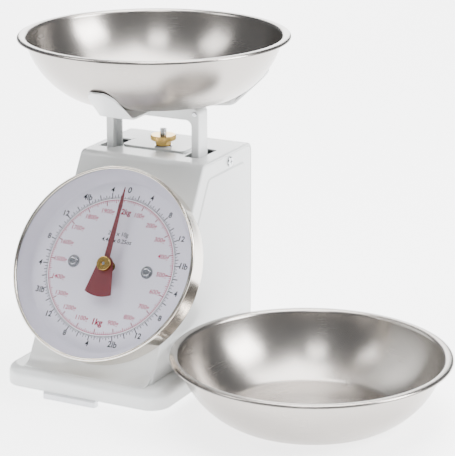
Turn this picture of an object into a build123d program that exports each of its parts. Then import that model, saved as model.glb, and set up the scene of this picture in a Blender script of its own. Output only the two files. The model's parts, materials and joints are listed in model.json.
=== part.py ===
"""Mechanical kitchen scale: inclined dial, two-pillar load bracket, three-arm bowl carrier, two steel bowls.

The scale stands on z = 0 with its front towards -Y. The origin is on the floor under the middle of the base.
A load on the bowl pushes the bracket down against two extension springs. Two check links keep it upright,
and a rack on the bracket turns the pinion of the pointer. All sizes are in millimetres.
"""
from build123d import *
import os
from math import asin, cos, degrees, pi, radians, sin, tan

os.makedirs("parts", exist_ok=True)

# ---------------------------------------------------------------- driving dimensions
TILT = 30.0  # lean of the front panel and the dial from upright, degrees
SHEET = 1.2  # pressed steel of the case and the base
PLATE = 1.5  # inner steel plates
GAP = 0.05  # between faces that are clamped together

BASE_WIDTH, BASE_DEPTH = 151.4, 208.4
BASE_UNDERSIDE, BASE_TOP = 5.7, 22.0
BASE_CORNER, BASE_EDGE = 17.0, 7.0

CASE_WIDTH = 118.5
CASE_TOP = 185.0
CASE_TOP_FRONT, CASE_BACK = 4.7, 94.8  # y of the front top corner and of the back
CASE_LIP = 2.2  # edge of the wrap that frames each side panel
COVE = 9.0  # soft foot of the front panel on the base

DIAL_HEIGHT = 100.0  # z where the dial's axis leaves the front panel
CAN_RADIUS, CAN_DEPTH = 82.3, 21.4
BEZEL_RADIUS, BEZEL_FRONT = 83.2, 23.3
FACE_RADIUS, FACE_OFFSET = 73.0, 7.44  # printed dial and its height over the front panel
POSTS = [(-35.0, 0), (35.0, 0)]  # on the dial's plane

PILLAR_X = 41.5  # middle of each pillar
PILLAR_WIDTH, PILLAR_FRONT, PILLAR_BACK = 6.9, 22.8, 39.7
BRACKET_TOP, BRACKET_BAR, BRACKET_END = 227.3, 10.7, 47.0
SLOT_FRONT, SLOT_BACK = 22.0, 54.5
SLOT_SHORT, SLOT_LONG = 4.7, 10.5  # slot ends to the right and left of a pillar's middle

STUD_Y, STUD_RADIUS, STUD_TOP = 43.0, 3.0, 202.0
PLATEAU_TOP, GROOVE_TOP = 185.8, 183.8  # pressed plateau around the stud and the groove around it
SPRING_X, SPRING_RADIUS, WIRE_RADIUS = 22.0, 5.2, 0.8
HANGER_Z, HANGER_SHEET, ANCHOR_Z = 166.0, 2.5, 60.0
EYE_RADIUS = 4.0
EYE_HOLES = [(side * SPRING_X, STUD_Y + way * EYE_RADIUS) for side in (-1, 1) for way in (-1, 1)]

BOWL_RADIUS, BOWL_FLAT, BOWL_HEIGHT, BOWL_SHEET = 115.0, 68.7, 51.0, 0.8
BOWL_WALL = 108.4  # outer radius of the wall under the rim
BOWL_Y, BOWL_Z = 28.8, 235.6
SPARE_X, SPARE_Y = 176.3, -33.2
ARM_END, ARM_ROOT = 97.0, 67.2

MODULE, PINION_TEETH = 0.4, 10
PINION_DISTANCE = 42.0  # pinion's middle behind the front panel, along the dial's axis
LINK_LENGTH, LINK_PIVOT_Y = 54.0, 85.0
UPPER_LINK_Z, LOWER_LINK_Z = 150.0, 48.0

# ---------------------------------------------------------------- worked out from them
COS, SIN, TAN = cos(radians(TILT)), sin(radians(TILT)), tan(radians(TILT))
HALF = CASE_WIDTH / 2
PITCH_RADIUS = MODULE * PINION_TEETH / 2
TRAVEL = 2 * pi * PITCH_RADIUS / COS  # one turn of the pointer
LINK_RISE = degrees(asin(TRAVEL / 2 / LINK_LENGTH))


def front_y(z):
    """y of the front panel's outer face at height z."""
    return CASE_TOP_FRONT - (CASE_TOP - z) * TAN


DIAL_ORIGIN = Vector(0, front_y(DIAL_HEIGHT), DIAL_HEIGHT)
DIAL_NORMAL = Vector(0, -COS, SIN)
DIAL = Plane(origin=DIAL_ORIGIN, x_dir=(1, 0, 0), z_dir=DIAL_NORMAL)
DIAL_AXIS = Axis(DIAL_ORIGIN, DIAL_NORMAL)
DIAL_SECTION = Plane(origin=DIAL_ORIGIN, x_dir=(1, 0, 0), z_dir=Vector(1, 0, 0).cross(DIAL_NORMAL))


def upright_section(x, y, z):
    """Plane through a vertical axis at (x, y): its own x is radial and its own y is up from z."""
    return Plane(origin=(x, y, z), x_dir=(1, 0, 0), z_dir=(0, -1, 0))


def side_plane(x):
    """Plane square to X at x: its own x is the scale's y and its own y is up."""
    return Plane.YZ.offset(x)


# ================================================================ base
TRAY_SCREWS = [(x, y) for x in (-47.0, 47.0) for y in (-78.0, 84.0)]
CHEEK_SCREWS = [(x, 70.0) for x in (-47.0, 47.0)]
FEET = [(x, y) for x in (-50.0, 50.0) for y in (-52.0, 50.0)]
FOOT_HEIGHT = 8.0

with BuildPart() as base_tray:
    with BuildSketch(Plane.XY.offset(BASE_UNDERSIDE)):
        RectangleRounded(BASE_WIDTH, BASE_DEPTH, BASE_CORNER)
    extrude(amount=BASE_TOP - BASE_UNDERSIDE)
    fillet(base_tray.faces().sort_by(Axis.Z)[-1].edges(), BASE_EDGE)
    offset(amount=-SHEET, openings=base_tray.faces().sort_by(Axis.Z)[0])
    # pressed pads that reach down to the feet
    with BuildSketch(Plane.XY.offset(FOOT_HEIGHT)):
        with Locations(*FEET):
            Circle(9.0)
    extrude(amount=BASE_TOP - SHEET - FOOT_HEIGHT)
    with Locations(*[(x, y, BASE_TOP) for x, y in TRAY_SCREWS + CHEEK_SCREWS]):
        Hole(1.8)
    with Locations(*[(x, y, BASE_TOP) for x, y in FEET]):
        Hole(1.6)
base_tray.part.label = "base_tray"
export_step(base_tray.part, "parts/base_tray.step")

with BuildPart() as rubber_feet:
    with BuildSketch():
        with Locations(*FEET):
            Circle(7.5)
    extrude(amount=FOOT_HEIGHT - GAP)
    chamfer(rubber_feet.faces().group_by(Axis.Z)[0].edges(), 0.8)
    with Locations(*[(x, y, FOOT_HEIGHT) for x, y in FEET]):
        Hole(1.7)
    with BuildSketch():
        with Locations(*FEET):
            Circle(3.8)
    extrude(amount=4.0, mode=Mode.SUBTRACT)
rubber_feet.part.label = "rubber_feet"
export_step(rubber_feet.part, "parts/rubber_feet.step")

with BuildPart() as foot_screws:
    with BuildSketch(Plane.XY.offset(2.0)):
        with Locations(*FEET):
            Circle(3.2)
    extrude(amount=1.95)
    with BuildSketch(Plane.XY.offset(2.0)):
        with Locations(*FEET):
            Circle(1.5)
    extrude(amount=21.5)
foot_screws.part.label = "foot_screws"
export_step(foot_screws.part, "parts/foot_screws.step")

PAD_LEFT, PAD_RIGHT, PAD_FRONT = -34.4, 15.5, -106.6
with BuildPart() as front_foot_pad:
    with BuildSketch(side_plane((PAD_LEFT + PAD_RIGHT) / 2)):
        with BuildLine():
            Polyline((PAD_FRONT, 0), (PAD_FRONT, 4.6), (PAD_FRONT + 2.0, 5.6), (-101.6, 5.6), (-101.6, 12.0),
                     (-100.4, 12.0), (-100.4, 0), close=True)
        make_face()
    extrude(amount=(PAD_RIGHT - PAD_LEFT) / 2, both=True)
    fillet(front_foot_pad.edges().filter_by(Axis.Z).group_by(Axis.Y)[0], 2.0)
front_foot_pad.part.label = "front_foot_pad"
export_step(front_foot_pad.part, "parts/front_foot_pad.step")

# ================================================================ case
CASE_FOOT = BASE_TOP + GAP
FLANGE_HALF = 51.5  # flanges of the wrap end inside the cheek plates


def case_points(inset, foot):
    """Corners of the case seen from the side, moved in by inset, down to z = foot."""
    top = CASE_TOP - inset
    shift = inset / COS
    return [
        (front_y(foot) + shift, foot),
        (front_y(top) + shift, top),
        (CASE_BACK - inset, top),
        (CASE_BACK - inset, foot),
    ]


PLATEAU = (-5.5, 45.0, 57.0, 21.0)  # x and y of the middle, width, depth
GROOVE = (-4.0, 43.5, 68.0, 31.0)

with BuildPart() as case_wrap:
    # block of the outer shape with softened long edges
    with BuildSketch(side_plane(0)) as outer_outline:
        with BuildLine():
            Polyline(*case_points(0, CASE_FOOT), close=True)
        make_face()
        fillet(outer_outline.vertices().sort_by(Axis.Y)[-2:], 7.0)
    extrude(amount=HALF, both=True)
    side_edges = case_wrap.faces().filter_by(Axis.X).edges()
    fillet(side_edges.filter_by(lambda edge: edge.center().Z > CASE_FOOT + 1), 1.6)
    # hollow it, then open both sides inside the lip
    with BuildSketch(side_plane(0)) as inner_outline:
        with BuildLine():
            Polyline(*case_points(SHEET, CASE_FOOT - 1), close=True)
        make_face()
        fillet(inner_outline.vertices().sort_by(Axis.Y)[-2:], 5.8)
    extrude(amount=HALF - SHEET, both=True, mode=Mode.SUBTRACT)
    with BuildSketch(side_plane(0)) as lip_outline:
        with BuildLine():
            Polyline(*case_points(CASE_LIP, CASE_FOOT - 1), close=True)
        make_face()
        fillet(lip_outline.vertices().sort_by(Axis.Y)[-2:], 6.0)
    extrude(amount=HALF + 1, both=True, mode=Mode.SUBTRACT)
    # soft cove where the front panel meets the base
    foot_y = front_y(CASE_FOOT)
    cove_high = (front_y(CASE_FOOT + COVE) - 0.05, CASE_FOOT + COVE)
    cove_middle = (foot_y - 0.6, CASE_FOOT + 0.3 * COVE)
    cove_low = (foot_y - 0.95 * COVE, CASE_FOOT + 0.3)
    with BuildSketch(side_plane(0)):
        with BuildLine():
            ThreePointArc(cove_high, cove_middle, cove_low)
            Polyline(cove_low, (cove_low[0], CASE_FOOT), (foot_y + 1, CASE_FOOT),
                     (cove_high[0] + 1, cove_high[1]), cove_high)
        make_face()
    extrude(amount=HALF - 1.7, both=True)
    # inward flanges that take the base screws
    for y_low, y_high in ((foot_y + SHEET, -71.0), (77.0, CASE_BACK - SHEET)):
        with BuildSketch(Plane.XY.offset(CASE_FOOT)):
            with Locations((0, (y_low + y_high) / 2)):
                Rectangle(2 * FLANGE_HALF, y_high - y_low)
        extrude(amount=SHEET)
    # pressed groove around the plateau of the stud
    for (x, y, width, depth), top in ((GROOVE, GROOVE_TOP), (PLATEAU, PLATEAU_TOP)):
        with BuildSketch(Plane.XY.offset(GROOVE_TOP - SHEET)):
            with Locations((x, y)):
                RectangleRounded(width, depth, 3.0)
        extrude(amount=PLATEAU_TOP - GROOVE_TOP + SHEET, mode=Mode.SUBTRACT)
        with BuildSketch(Plane.XY.offset(top - SHEET)):
            with Locations((x, y)):
                RectangleRounded(width, depth, 3.0)
        extrude(amount=SHEET)
        rise_low, rise_high = GROOVE_TOP - SHEET, max(top, CASE_TOP)
        with BuildSketch(Plane.XY.offset(rise_low)):
            with Locations((x, y)):
                RectangleRounded(width + 2 * SHEET, depth + 2 * SHEET, 4.0)
                RectangleRounded(width, depth, 3.0, mode=Mode.SUBTRACT)
        extrude(amount=rise_high - rise_low)
    with Locations((0, STUD_Y, PLATEAU_TOP)):
        Hole(STUD_RADIUS + 0.4, depth=6.0)
    # slots for the pillars, longer on the side from which the bracket is hooked in
    for pillar in (-PILLAR_X, PILLAR_X):
        with BuildSketch(Plane.XY.offset(GROOVE_TOP - 4)):
            with Locations((pillar + (SLOT_SHORT - SLOT_LONG) / 2, (SLOT_FRONT + SLOT_BACK) / 2)):
                RectangleRounded(SLOT_SHORT + SLOT_LONG, SLOT_BACK - SLOT_FRONT, 1.0)
        extrude(amount=8.0, mode=Mode.SUBTRACT)
    # openings of the dial: the pointer's bush and the screws of the posts
    with BuildSketch(DIAL.offset(2.0)):
        Circle(6.0)
        with Locations(*POSTS):
            Circle(2.1)
    extrude(amount=-8.0, mode=Mode.SUBTRACT)
    with Locations(*[(x, y, CASE_FOOT + SHEET) for x, y in TRAY_SCREWS]):
        Hole(1.8, depth=3.0)
case_wrap.part.label = "case_wrap"
export_step(case_wrap.part, "parts/case_wrap.step")

# ---------------------------------------------------------------- side panels
PANEL_GAP, PANEL_FOOT = 0.35, CASE_FOOT + 0.3
FIELD_MARGIN, FIELD_RISE, FIELD_SLOPE = 13.5, 0.8, 65.0
SIDE_SCREW_Y, SIDE_SCREW_Z = 51.8, 177.1

for side, name in ((-1, "left_side_panel"), (1, "right_side_panel")):
    with BuildPart() as side_panel:
        inner_face = side_plane(side * (HALF - SHEET - 0.1))
        outer_face = side_plane(side * (HALF - 0.1))
        with BuildSketch(inner_face) as panel_outline:
            with BuildLine():
                Polyline(*case_points(CASE_LIP + PANEL_GAP, PANEL_FOOT), close=True)
            make_face()
            fillet(panel_outline.vertices().sort_by(Axis.Y)[-2:], 5.7)
        extrude(amount=side * SHEET)
        # softly raised field, hollow behind
        for face, mode in ((outer_face, Mode.ADD), (inner_face, Mode.SUBTRACT)):
            with BuildSketch(face) as field_outline:
                with BuildLine():
                    Polyline(*case_points(FIELD_MARGIN, PANEL_FOOT + FIELD_MARGIN), close=True)
                make_face()
                fillet(field_outline.vertices(), 7.0)
            extrude(amount=side * FIELD_RISE, taper=FIELD_SLOPE, mode=mode)
        with BuildSketch(side_plane(side * HALF)):
            with Locations((SIDE_SCREW_Y, SIDE_SCREW_Z)):
                Circle(1.9)
        extrude(amount=-side * 3.0, mode=Mode.SUBTRACT)
    side_panel.part.label = name
    export_step(side_panel.part, f"parts/{name}.step")

with BuildPart() as side_screws:
    for side in (-1, 1):
        head = Plane(origin=(side * (HALF - 0.05), SIDE_SCREW_Y, SIDE_SCREW_Z), z_dir=(side, 0, 0))
        with BuildSketch(head):
            Circle(4.4)
        extrude(amount=1.7)
        fillet(side_screws.faces().filter_by(Axis.X).sort_by(Axis.X)[-1 if side > 0 else 0].edges(), 1.3)
        with BuildSketch(head.offset(0.7)):
            Rectangle(4.4, 0.9)
            Rectangle(0.9, 4.4)
        extrude(amount=2.0, mode=Mode.SUBTRACT)
        with BuildSketch(head):
            Circle(1.7)
        extrude(amount=-9.0)
side_screws.part.label = "side_screws"
export_step(side_screws.part, "parts/side_screws.step")

with BuildPart() as base_screws:
    for x, y in TRAY_SCREWS + CHEEK_SCREWS:
        with BuildSketch(Plane.XY.offset(BASE_TOP - SHEET - GAP)):
            with Locations((x, y)):
                Circle(3.2)
        extrude(amount=-2.2)
        with BuildSketch(Plane.XY.offset(BASE_TOP - SHEET - 1)):
            with Locations((x, y)):
                Circle(1.6)
        extrude(amount=8.0)
base_screws.part.label = "base_screws"
export_step(base_screws.part, "parts/base_screws.step")

# ================================================================ inner frame and check links
CHEEK_IN, CHEEK_OUT = 52.0, 53.5
CHEEK_FRONT, CHEEK_BACK, CHEEK_TOP = 60.0, 92.5, 172.0
SHAFT_RADIUS, PIN_RADIUS = 3.0, 2.5
LINK_IN, LINK_OUT = 46.8, 48.3
LINK_HALF = 6.0
PIN_Y = LINK_PIVOT_Y - LINK_LENGTH * (1 + cos(radians(LINK_RISE))) / 2
LINKS = (("upper", UPPER_LINK_Z), ("lower", LOWER_LINK_Z))

for side, name in ((-1, "left_cheek_plate"), (1, "right_cheek_plate")):
    with BuildPart() as cheek:
        with BuildSketch(side_plane(side * CHEEK_IN)) as cheek_outline:
            with Locations(((CHEEK_FRONT + CHEEK_BACK) / 2, (CASE_FOOT + CHEEK_TOP) / 2)):
                RectangleRounded(CHEEK_BACK - CHEEK_FRONT, CHEEK_TOP - CASE_FOOT, 1.5)
            with Locations(((CHEEK_FRONT + CHEEK_BACK) / 2, (UPPER_LINK_Z + LOWER_LINK_Z) / 2)):
                SlotOverall(70.0, 14.0, rotation=90, mode=Mode.SUBTRACT)
        extrude(amount=side * PLATE)
        with BuildSketch(Plane.XY.offset(CASE_FOOT)):
            with Locations((side * (CHEEK_OUT + 41.0) / 2, 67.0)):
                Rectangle(CHEEK_OUT - 41.0, 14.0)
        extrude(amount=PLATE)
        with Locations(*[Location((side * CHEEK_OUT, LINK_PIVOT_Y, z), (0, 90, 0)) for _, z in LINKS]):
            Hole(SHAFT_RADIUS + 0.03, depth=20.0)
        with Locations((side * 47.0, 70.0, CASE_FOOT + PLATE)):
            Hole(1.8, depth=4.0)
    cheek.part.label = name
    export_step(cheek.part, f"parts/{name}.step")

with BuildPart() as link_spacers:
    for _, z in LINKS:
        for side in (-1, 1):
            with BuildSketch(side_plane(side * (LINK_OUT + 0.2))):
                with Locations((LINK_PIVOT_Y, z)):
                    Circle(4.6)
                    Circle(SHAFT_RADIUS + 0.1, mode=Mode.SUBTRACT)
            extrude(amount=side * (CHEEK_IN - LINK_OUT - 0.4))
link_spacers.part.label = "link_spacers"
export_step(link_spacers.part, "parts/link_spacers.step")

for which, pivot_z in LINKS:
    shaft_name, link_name = f"{which}_link_shaft", f"{which}_check_link"
    with BuildPart() as shaft:
        with BuildSketch(side_plane(0)):
            with Locations((LINK_PIVOT_Y, pivot_z)):
                Circle(SHAFT_RADIUS)
        extrude(amount=CHEEK_OUT + 2.2, both=True)
        chamfer(shaft.faces().filter_by(Axis.X).edges(), 0.5)
        for side in (-1, 1):
            with BuildSketch(side_plane(side * (CHEEK_OUT + 0.4))):
                with Locations((LINK_PIVOT_Y, pivot_z)):
                    Circle(SHAFT_RADIUS + 1)
                    Circle(SHAFT_RADIUS - 0.5, mode=Mode.SUBTRACT)
            extrude(amount=side * 0.7, mode=Mode.SUBTRACT)
    shaft.part.label = shaft_name
    export_step(shaft.part, f"parts/{shaft_name}.step")

    # the link's own plane: x towards the bracket's pins, y upwards, turned to its rest angle
    rise = radians(LINK_RISE)
    link_plane = Plane(origin=(0, LINK_PIVOT_Y, pivot_z), x_dir=(0, -cos(rise), sin(rise)), z_dir=(-1, 0, 0))
    with BuildPart() as link:
        for side in (-1, 1):
            with BuildSketch(link_plane.offset(-side * LINK_IN)):
                with Locations((LINK_LENGTH / 2, 0)):
                    SlotCenterToCenter(LINK_LENGTH, 2 * LINK_HALF)
                Circle(SHAFT_RADIUS + 0.05, mode=Mode.SUBTRACT)
                with Locations((LINK_LENGTH, 0)):
                    Circle(PIN_RADIUS + 0.4, mode=Mode.SUBTRACT)
            extrude(amount=-side * PLATE)
        with BuildSketch(link_plane):
            with Locations((21.0, -LINK_HALF + PLATE / 2)):
                Rectangle(18.0, PLATE)
        extrude(amount=LINK_OUT - PLATE / 2, both=True)
    link.part.label = link_name
    export_step(link.part, f"parts/{link_name}.step")

with BuildPart() as shaft_clips:
    for _, z in LINKS:
        for side in (-1, 1):
            with BuildSketch(side_plane(side * (CHEEK_OUT + 0.45))):
                with Locations((LINK_PIVOT_Y, z)):
                    Circle(5.2)
                    Circle(SHAFT_RADIUS - 0.45, mode=Mode.SUBTRACT)
                with Locations((LINK_PIVOT_Y - 4.0, z)):
                    Rectangle(5.0, 3.0, mode=Mode.SUBTRACT)
            extrude(amount=side * 0.6)
shaft_clips.part.label = "shaft_clips"
export_step(shaft_clips.part, "parts/shaft_clips.step")

# ================================================================ load bracket (moves up and down)
BAR_UNDERSIDE = BRACKET_TOP - BRACKET_BAR
PILLAR_OUT = PILLAR_X + PILLAR_WIDTH / 2
PILLAR_IN = PILLAR_X - PILLAR_WIDTH / 2
WEB_IN = PILLAR_OUT - PLATE
PIN_RISE = LINK_LENGTH * sin(radians(LINK_RISE))
RIVET_POINTS = [(-41.2, 222.2), (41.2, 222.2)]
ANCHOR_RIVET_Z, ARM_RIVET_Z = ANCHOR_Z + 8.0, 112.0  # rivets of the spring crossbar and of the rack arm
CARRIER_RIVETS = [(-14.0, PIN_Y), (14.0, PIN_Y)]

with BuildPart() as load_bracket:
    with BuildSketch(Plane.XZ.offset(-PILLAR_FRONT)) as bracket_outline:
        with Locations((0, (BRACKET_TOP + BRACKET_END) / 2)):
            Rectangle(2 * PILLAR_OUT, BRACKET_TOP - BRACKET_END)
        fillet(bracket_outline.vertices().group_by(Axis.Y)[-1], 5.0)
    extrude(amount=-(PILLAR_BACK - PILLAR_FRONT))
    with BuildSketch(Plane.XZ.offset(-PILLAR_FRONT)) as bracket_opening:
        with Locations((0, (BAR_UNDERSIDE + BRACKET_END) / 2 - 1)):
            Rectangle(2 * PILLAR_IN, BAR_UNDERSIDE - BRACKET_END + 2)
        fillet(bracket_opening.vertices().group_by(Axis.Y)[-1], 5.5)
    extrude(amount=-(PILLAR_BACK - PILLAR_FRONT), mode=Mode.SUBTRACT)
    outer_walls = load_bracket.faces().filter_by(lambda face: abs(face.center().X) > PILLAR_OUT - 0.1)
    fillet(outer_walls.edges().filter_by(Axis.Z), 1.4)
    with BuildSketch(Plane.XZ.offset(-PILLAR_FRONT - PLATE)) as bracket_hollow:
        with Locations((0, (BRACKET_TOP - PLATE + BRACKET_END) / 2 - 1)):
            Rectangle(2 * WEB_IN, BRACKET_TOP - PLATE - BRACKET_END + 2)
        fillet(bracket_hollow.vertices().group_by(Axis.Y)[-1], 3.5)
    extrude(amount=-(PILLAR_BACK - PILLAR_FRONT - 2 * PLATE), mode=Mode.SUBTRACT)
    for _, pivot_z in LINKS:
        with BuildSketch(side_plane(0)):
            with Locations((PIN_Y, pivot_z + PIN_RISE)):
                Circle(PIN_RADIUS)
        extrude(amount=HALF, both=True, mode=Mode.SUBTRACT)
    with BuildSketch(side_plane(0)):
        with Locations((PIN_Y, ANCHOR_RIVET_Z), (PIN_Y, ARM_RIVET_Z)):
            Circle(1.6)
    extrude(amount=HALF, both=True, mode=Mode.SUBTRACT)
    with BuildSketch(Plane.XY.offset(BRACKET_TOP - 3)):
        with Locations(*CARRIER_RIVETS):
            Circle(2.1)
    extrude(amount=4.0, mode=Mode.SUBTRACT)
    with BuildSketch(Plane.XZ.offset(-PILLAR_FRONT)):
        with Locations(*RIVET_POINTS):
            Circle(1.6)
    extrude(amount=-PLATE, mode=Mode.SUBTRACT)
load_bracket.part.label = "load_bracket"
export_step(load_bracket.part, "parts/load_bracket.step")

with BuildPart() as bracket_rivets:
    with BuildSketch(Plane.XZ.offset(-PILLAR_FRONT + GAP)):
        with Locations(*RIVET_POINTS):
            Circle(2.3)
    extrude(amount=1.0)
    fillet(bracket_rivets.faces().sort_by(Axis.Y)[:2].edges(), 0.7)
    with BuildSketch(Plane.XZ.offset(-PILLAR_FRONT + GAP)):
        with Locations(*RIVET_POINTS):
            Circle(1.5)
    extrude(amount=-3.2)
bracket_rivets.part.label = "bracket_rivets"
export_step(bracket_rivets.part, "parts/bracket_rivets.step")

LINK_PIN_STEPS = [  # radius, inner end and outer end of each shoulder
    (PIN_RADIUS - 0.02, WEB_IN - 1.5, LINK_OUT + 1.7),
    (3.6, WEB_IN - 1.5, WEB_IN - 0.1),
    (3.6, PILLAR_OUT + 0.1, LINK_IN - 0.4),
    (4.0, LINK_OUT + 0.4, LINK_OUT + 1.7),
]

with BuildPart() as link_pins:
    for _, pivot_z in LINKS:
        for side in (-1, 1):
            for radius, start, end in LINK_PIN_STEPS:
                with BuildSketch(side_plane(side * start)):
                    with Locations((PIN_Y, pivot_z + PIN_RISE)):
                        Circle(radius)
                extrude(amount=side * (end - start))
link_pins.part.label = "link_pins"
export_step(link_pins.part, "parts/link_pins.step")

with BuildPart() as spring_crossbar:
    with BuildSketch(Plane.XY.offset(ANCHOR_Z)):
        with Locations((0, PIN_Y)):
            Rectangle(2 * WEB_IN - 0.2, 13.2)
        with Locations((0, 37.5)):
            Rectangle(2 * PILLAR_IN - 1.0, 25.0)
        with Locations(*EYE_HOLES):
            Circle(1.6, mode=Mode.SUBTRACT)
    extrude(amount=PLATE)
    for side in (-1, 1):
        with BuildSketch(side_plane(side * (WEB_IN - 0.1))):
            with Locations((PIN_Y, ANCHOR_Z + 6.5)):
                Rectangle(13.2, 13.0)
            with Locations((PIN_Y, ANCHOR_RIVET_Z)):
                Circle(1.6, mode=Mode.SUBTRACT)
        extrude(amount=-side * PLATE)
spring_crossbar.part.label = "spring_crossbar"
export_step(spring_crossbar.part, "parts/spring_crossbar.step")

RACK_ARM_X, RACK_ARM_LOW, RACK_ARM_HIGH = 8.7, 105.0, 118.0
RACK_Y = DIAL_ORIGIN.Y + PINION_DISTANCE * COS
PINION_Z = DIAL_HEIGHT - PINION_DISTANCE * SIN
RACK_DEPTH = 7.0
RACK_RIVETS = [(RACK_Y, RACK_ARM_LOW + 3.5), (RACK_Y, RACK_ARM_HIGH - 3.5)]

with BuildPart() as rack_arm:
    with BuildSketch(Plane.XZ.offset(-PILLAR_FRONT - PLATE - 0.1)):
        with Locations((0, (RACK_ARM_LOW + RACK_ARM_HIGH) / 2)):
            Rectangle(2 * WEB_IN - 0.2, RACK_ARM_HIGH - RACK_ARM_LOW)
    extrude(amount=-PLATE)
    for side in (-1, 1):
        with BuildSketch(side_plane(side * (WEB_IN - 0.1))):
            with Locations((PIN_Y, ARM_RIVET_Z)):
                Rectangle(2 * (PIN_Y - PILLAR_FRONT - PLATE - 0.1), 10.0)
                Circle(1.6, mode=Mode.SUBTRACT)
        extrude(amount=-side * PLATE)
    with BuildSketch(side_plane(RACK_ARM_X)) as arm_outline:
        with BuildLine():
            Polyline(
                (RACK_Y - RACK_DEPTH / 2, RACK_ARM_LOW),
                (PILLAR_FRONT + PLATE + 0.1, RACK_ARM_LOW),
                (PILLAR_FRONT + PLATE + 0.1, RACK_ARM_HIGH),
                (RACK_Y - RACK_DEPTH / 2, RACK_ARM_HIGH),
                close=True,
            )
        make_face()
    extrude(amount=PLATE)
    with BuildSketch(side_plane(RACK_ARM_X - 1)):
        with Locations(*RACK_RIVETS):
            Circle(1.05)
    extrude(amount=4.0, mode=Mode.SUBTRACT)
rack_arm.part.label = "rack_arm"
export_step(rack_arm.part, "parts/rack_arm.step")

CROSSBAR_RIVET_STEPS = [
    (1.5, WEB_IN - 3.0, PILLAR_OUT + 0.9),
    (2.6, PILLAR_OUT + GAP, PILLAR_OUT + 0.9),
    (2.4, WEB_IN - 3.0, WEB_IN - 0.1 - PLATE - GAP),
]

with BuildPart() as crossbar_rivets:
    for side in (-1, 1):
        for z in (ANCHOR_RIVET_Z, ARM_RIVET_Z):
            for radius, start, end in CROSSBAR_RIVET_STEPS:
                with BuildSketch(side_plane(side * start)):
                    with Locations((PIN_Y, z)):
                        Circle(radius)
                extrude(amount=side * (end - start))
crossbar_rivets.part.label = "crossbar_rivets"
export_step(crossbar_rivets.part, "parts/crossbar_rivets.step")

# ---------------------------------------------------------------- rack and pinion
TOOTH_PITCH = pi * MODULE
RACK_TEETH_BELOW, RACK_TEETH_ABOVE = 2, 12
PINION_PLANE = DIAL.offset(-PINION_DISTANCE)

with BuildPart() as rack:
    with BuildSketch(PINION_PLANE):
        with Locations((PITCH_RADIUS + 0.4 + 3.0, 10.0)):
            Rectangle(6.0, 60.0)
        for tooth in range(-RACK_TEETH_BELOW, RACK_TEETH_ABOVE + 1):
            middle = tooth * TOOTH_PITCH
            Polygon(
                (PITCH_RADIUS + 0.45, middle - 0.38),
                (PITCH_RADIUS - 0.26, middle - 0.12),
                (PITCH_RADIUS - 0.26, middle + 0.12),
                (PITCH_RADIUS + 0.45, middle + 0.38),
                align=None,
            )
    extrude(amount=20.0, both=True)
    with BuildSketch(Plane.XY.offset(PINION_Z - 5.0)):
        with Locations((PITCH_RADIUS + 2.3, RACK_Y)):
            Rectangle(2 * 4.3, RACK_DEPTH)
    extrude(amount=RACK_ARM_HIGH - PINION_Z + 5.0, mode=Mode.INTERSECT)
    with BuildSketch(side_plane(-1)):
        with Locations(*RACK_RIVETS):
            Circle(1.05)
    extrude(amount=20.0, mode=Mode.SUBTRACT)
rack.part.label = "rack"
export_step(rack.part, "parts/rack.step")

RACK_RIVET_STEPS = [
    (1.0, PITCH_RADIUS + 0.5, RACK_ARM_X + 2.4),
    (1.9, RACK_ARM_X + PLATE + GAP, RACK_ARM_X + 2.4),
]

with BuildPart() as rack_rivets:
    for radius, start, end in RACK_RIVET_STEPS:
        with BuildSketch(side_plane(start)):
            with Locations(*RACK_RIVETS):
                Circle(radius)
        extrude(amount=end - start)
rack_rivets.part.label = "rack_rivets"
export_step(rack_rivets.part, "parts/rack_rivets.step")

# ---------------------------------------------------------------- bowl carrier
TOUCH_SLOPE = 42.0
CARRIER_SHEET = 1.5
CARRIER_LOW = BRACKET_TOP + GAP

with BuildPart() as bowl_carrier:
    arm_run = ARM_END - ARM_ROOT
    with BuildSketch(upright_section(0, BOWL_Y, CARRIER_LOW)):
        with BuildLine() as carrier_line:
            FilletPolyline(
                (0, 0),
                (ARM_ROOT, 0),
                (ARM_END, arm_run * tan(radians(TOUCH_SLOPE))),
                radius=9.0,
            )
            offset(amount=CARRIER_SHEET, side=Side.LEFT)
        make_face()
    revolve(axis=Axis((0, BOWL_Y, 0), (0, 0, 1)))
    with BuildSketch(Plane.XY.offset(CARRIER_LOW - 1)) as arm_outline:
        with Locations((0, BOWL_Y)):
            Circle(27.0)
            with PolarLocations(0, 3, start_angle=30):
                Polygon((0, -14.0), (60.0, -15.5), (ARM_END - 13.0, -13.0), (ARM_END - 13.0, 13.0),
                        (60.0, 15.5), (0, 14.0), align=None)
            with PolarLocations(ARM_END - 13.0, 3, start_angle=30):
                Circle(13.0)
    extrude(amount=40.0, mode=Mode.INTERSECT)
    with Locations(*[(x, y, CARRIER_LOW + CARRIER_SHEET) for x, y in CARRIER_RIVETS]):
        Hole(2.1, depth=4.0)
bowl_carrier.part.label = "bowl_carrier"
export_step(bowl_carrier.part, "parts/bowl_carrier.step")

CARRIER_HIGH = CARRIER_LOW + CARRIER_SHEET
CARRIER_RIVET_STEPS = [
    (2.0, BRACKET_TOP - 3.2, CARRIER_HIGH + 1.3),
    (3.6, CARRIER_HIGH + GAP, CARRIER_HIGH + 1.3),
    (3.4, BRACKET_TOP - 3.2, BRACKET_TOP - PLATE - GAP),
]

with BuildPart() as carrier_rivets:
    for radius, start, end in CARRIER_RIVET_STEPS:
        with BuildSketch(Plane.XY.offset(start)):
            with Locations(*CARRIER_RIVETS):
                Circle(radius)
        extrude(amount=end - start)
carrier_rivets.part.label = "carrier_rivets"
export_step(carrier_rivets.part, "parts/carrier_rivets.step")

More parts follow.
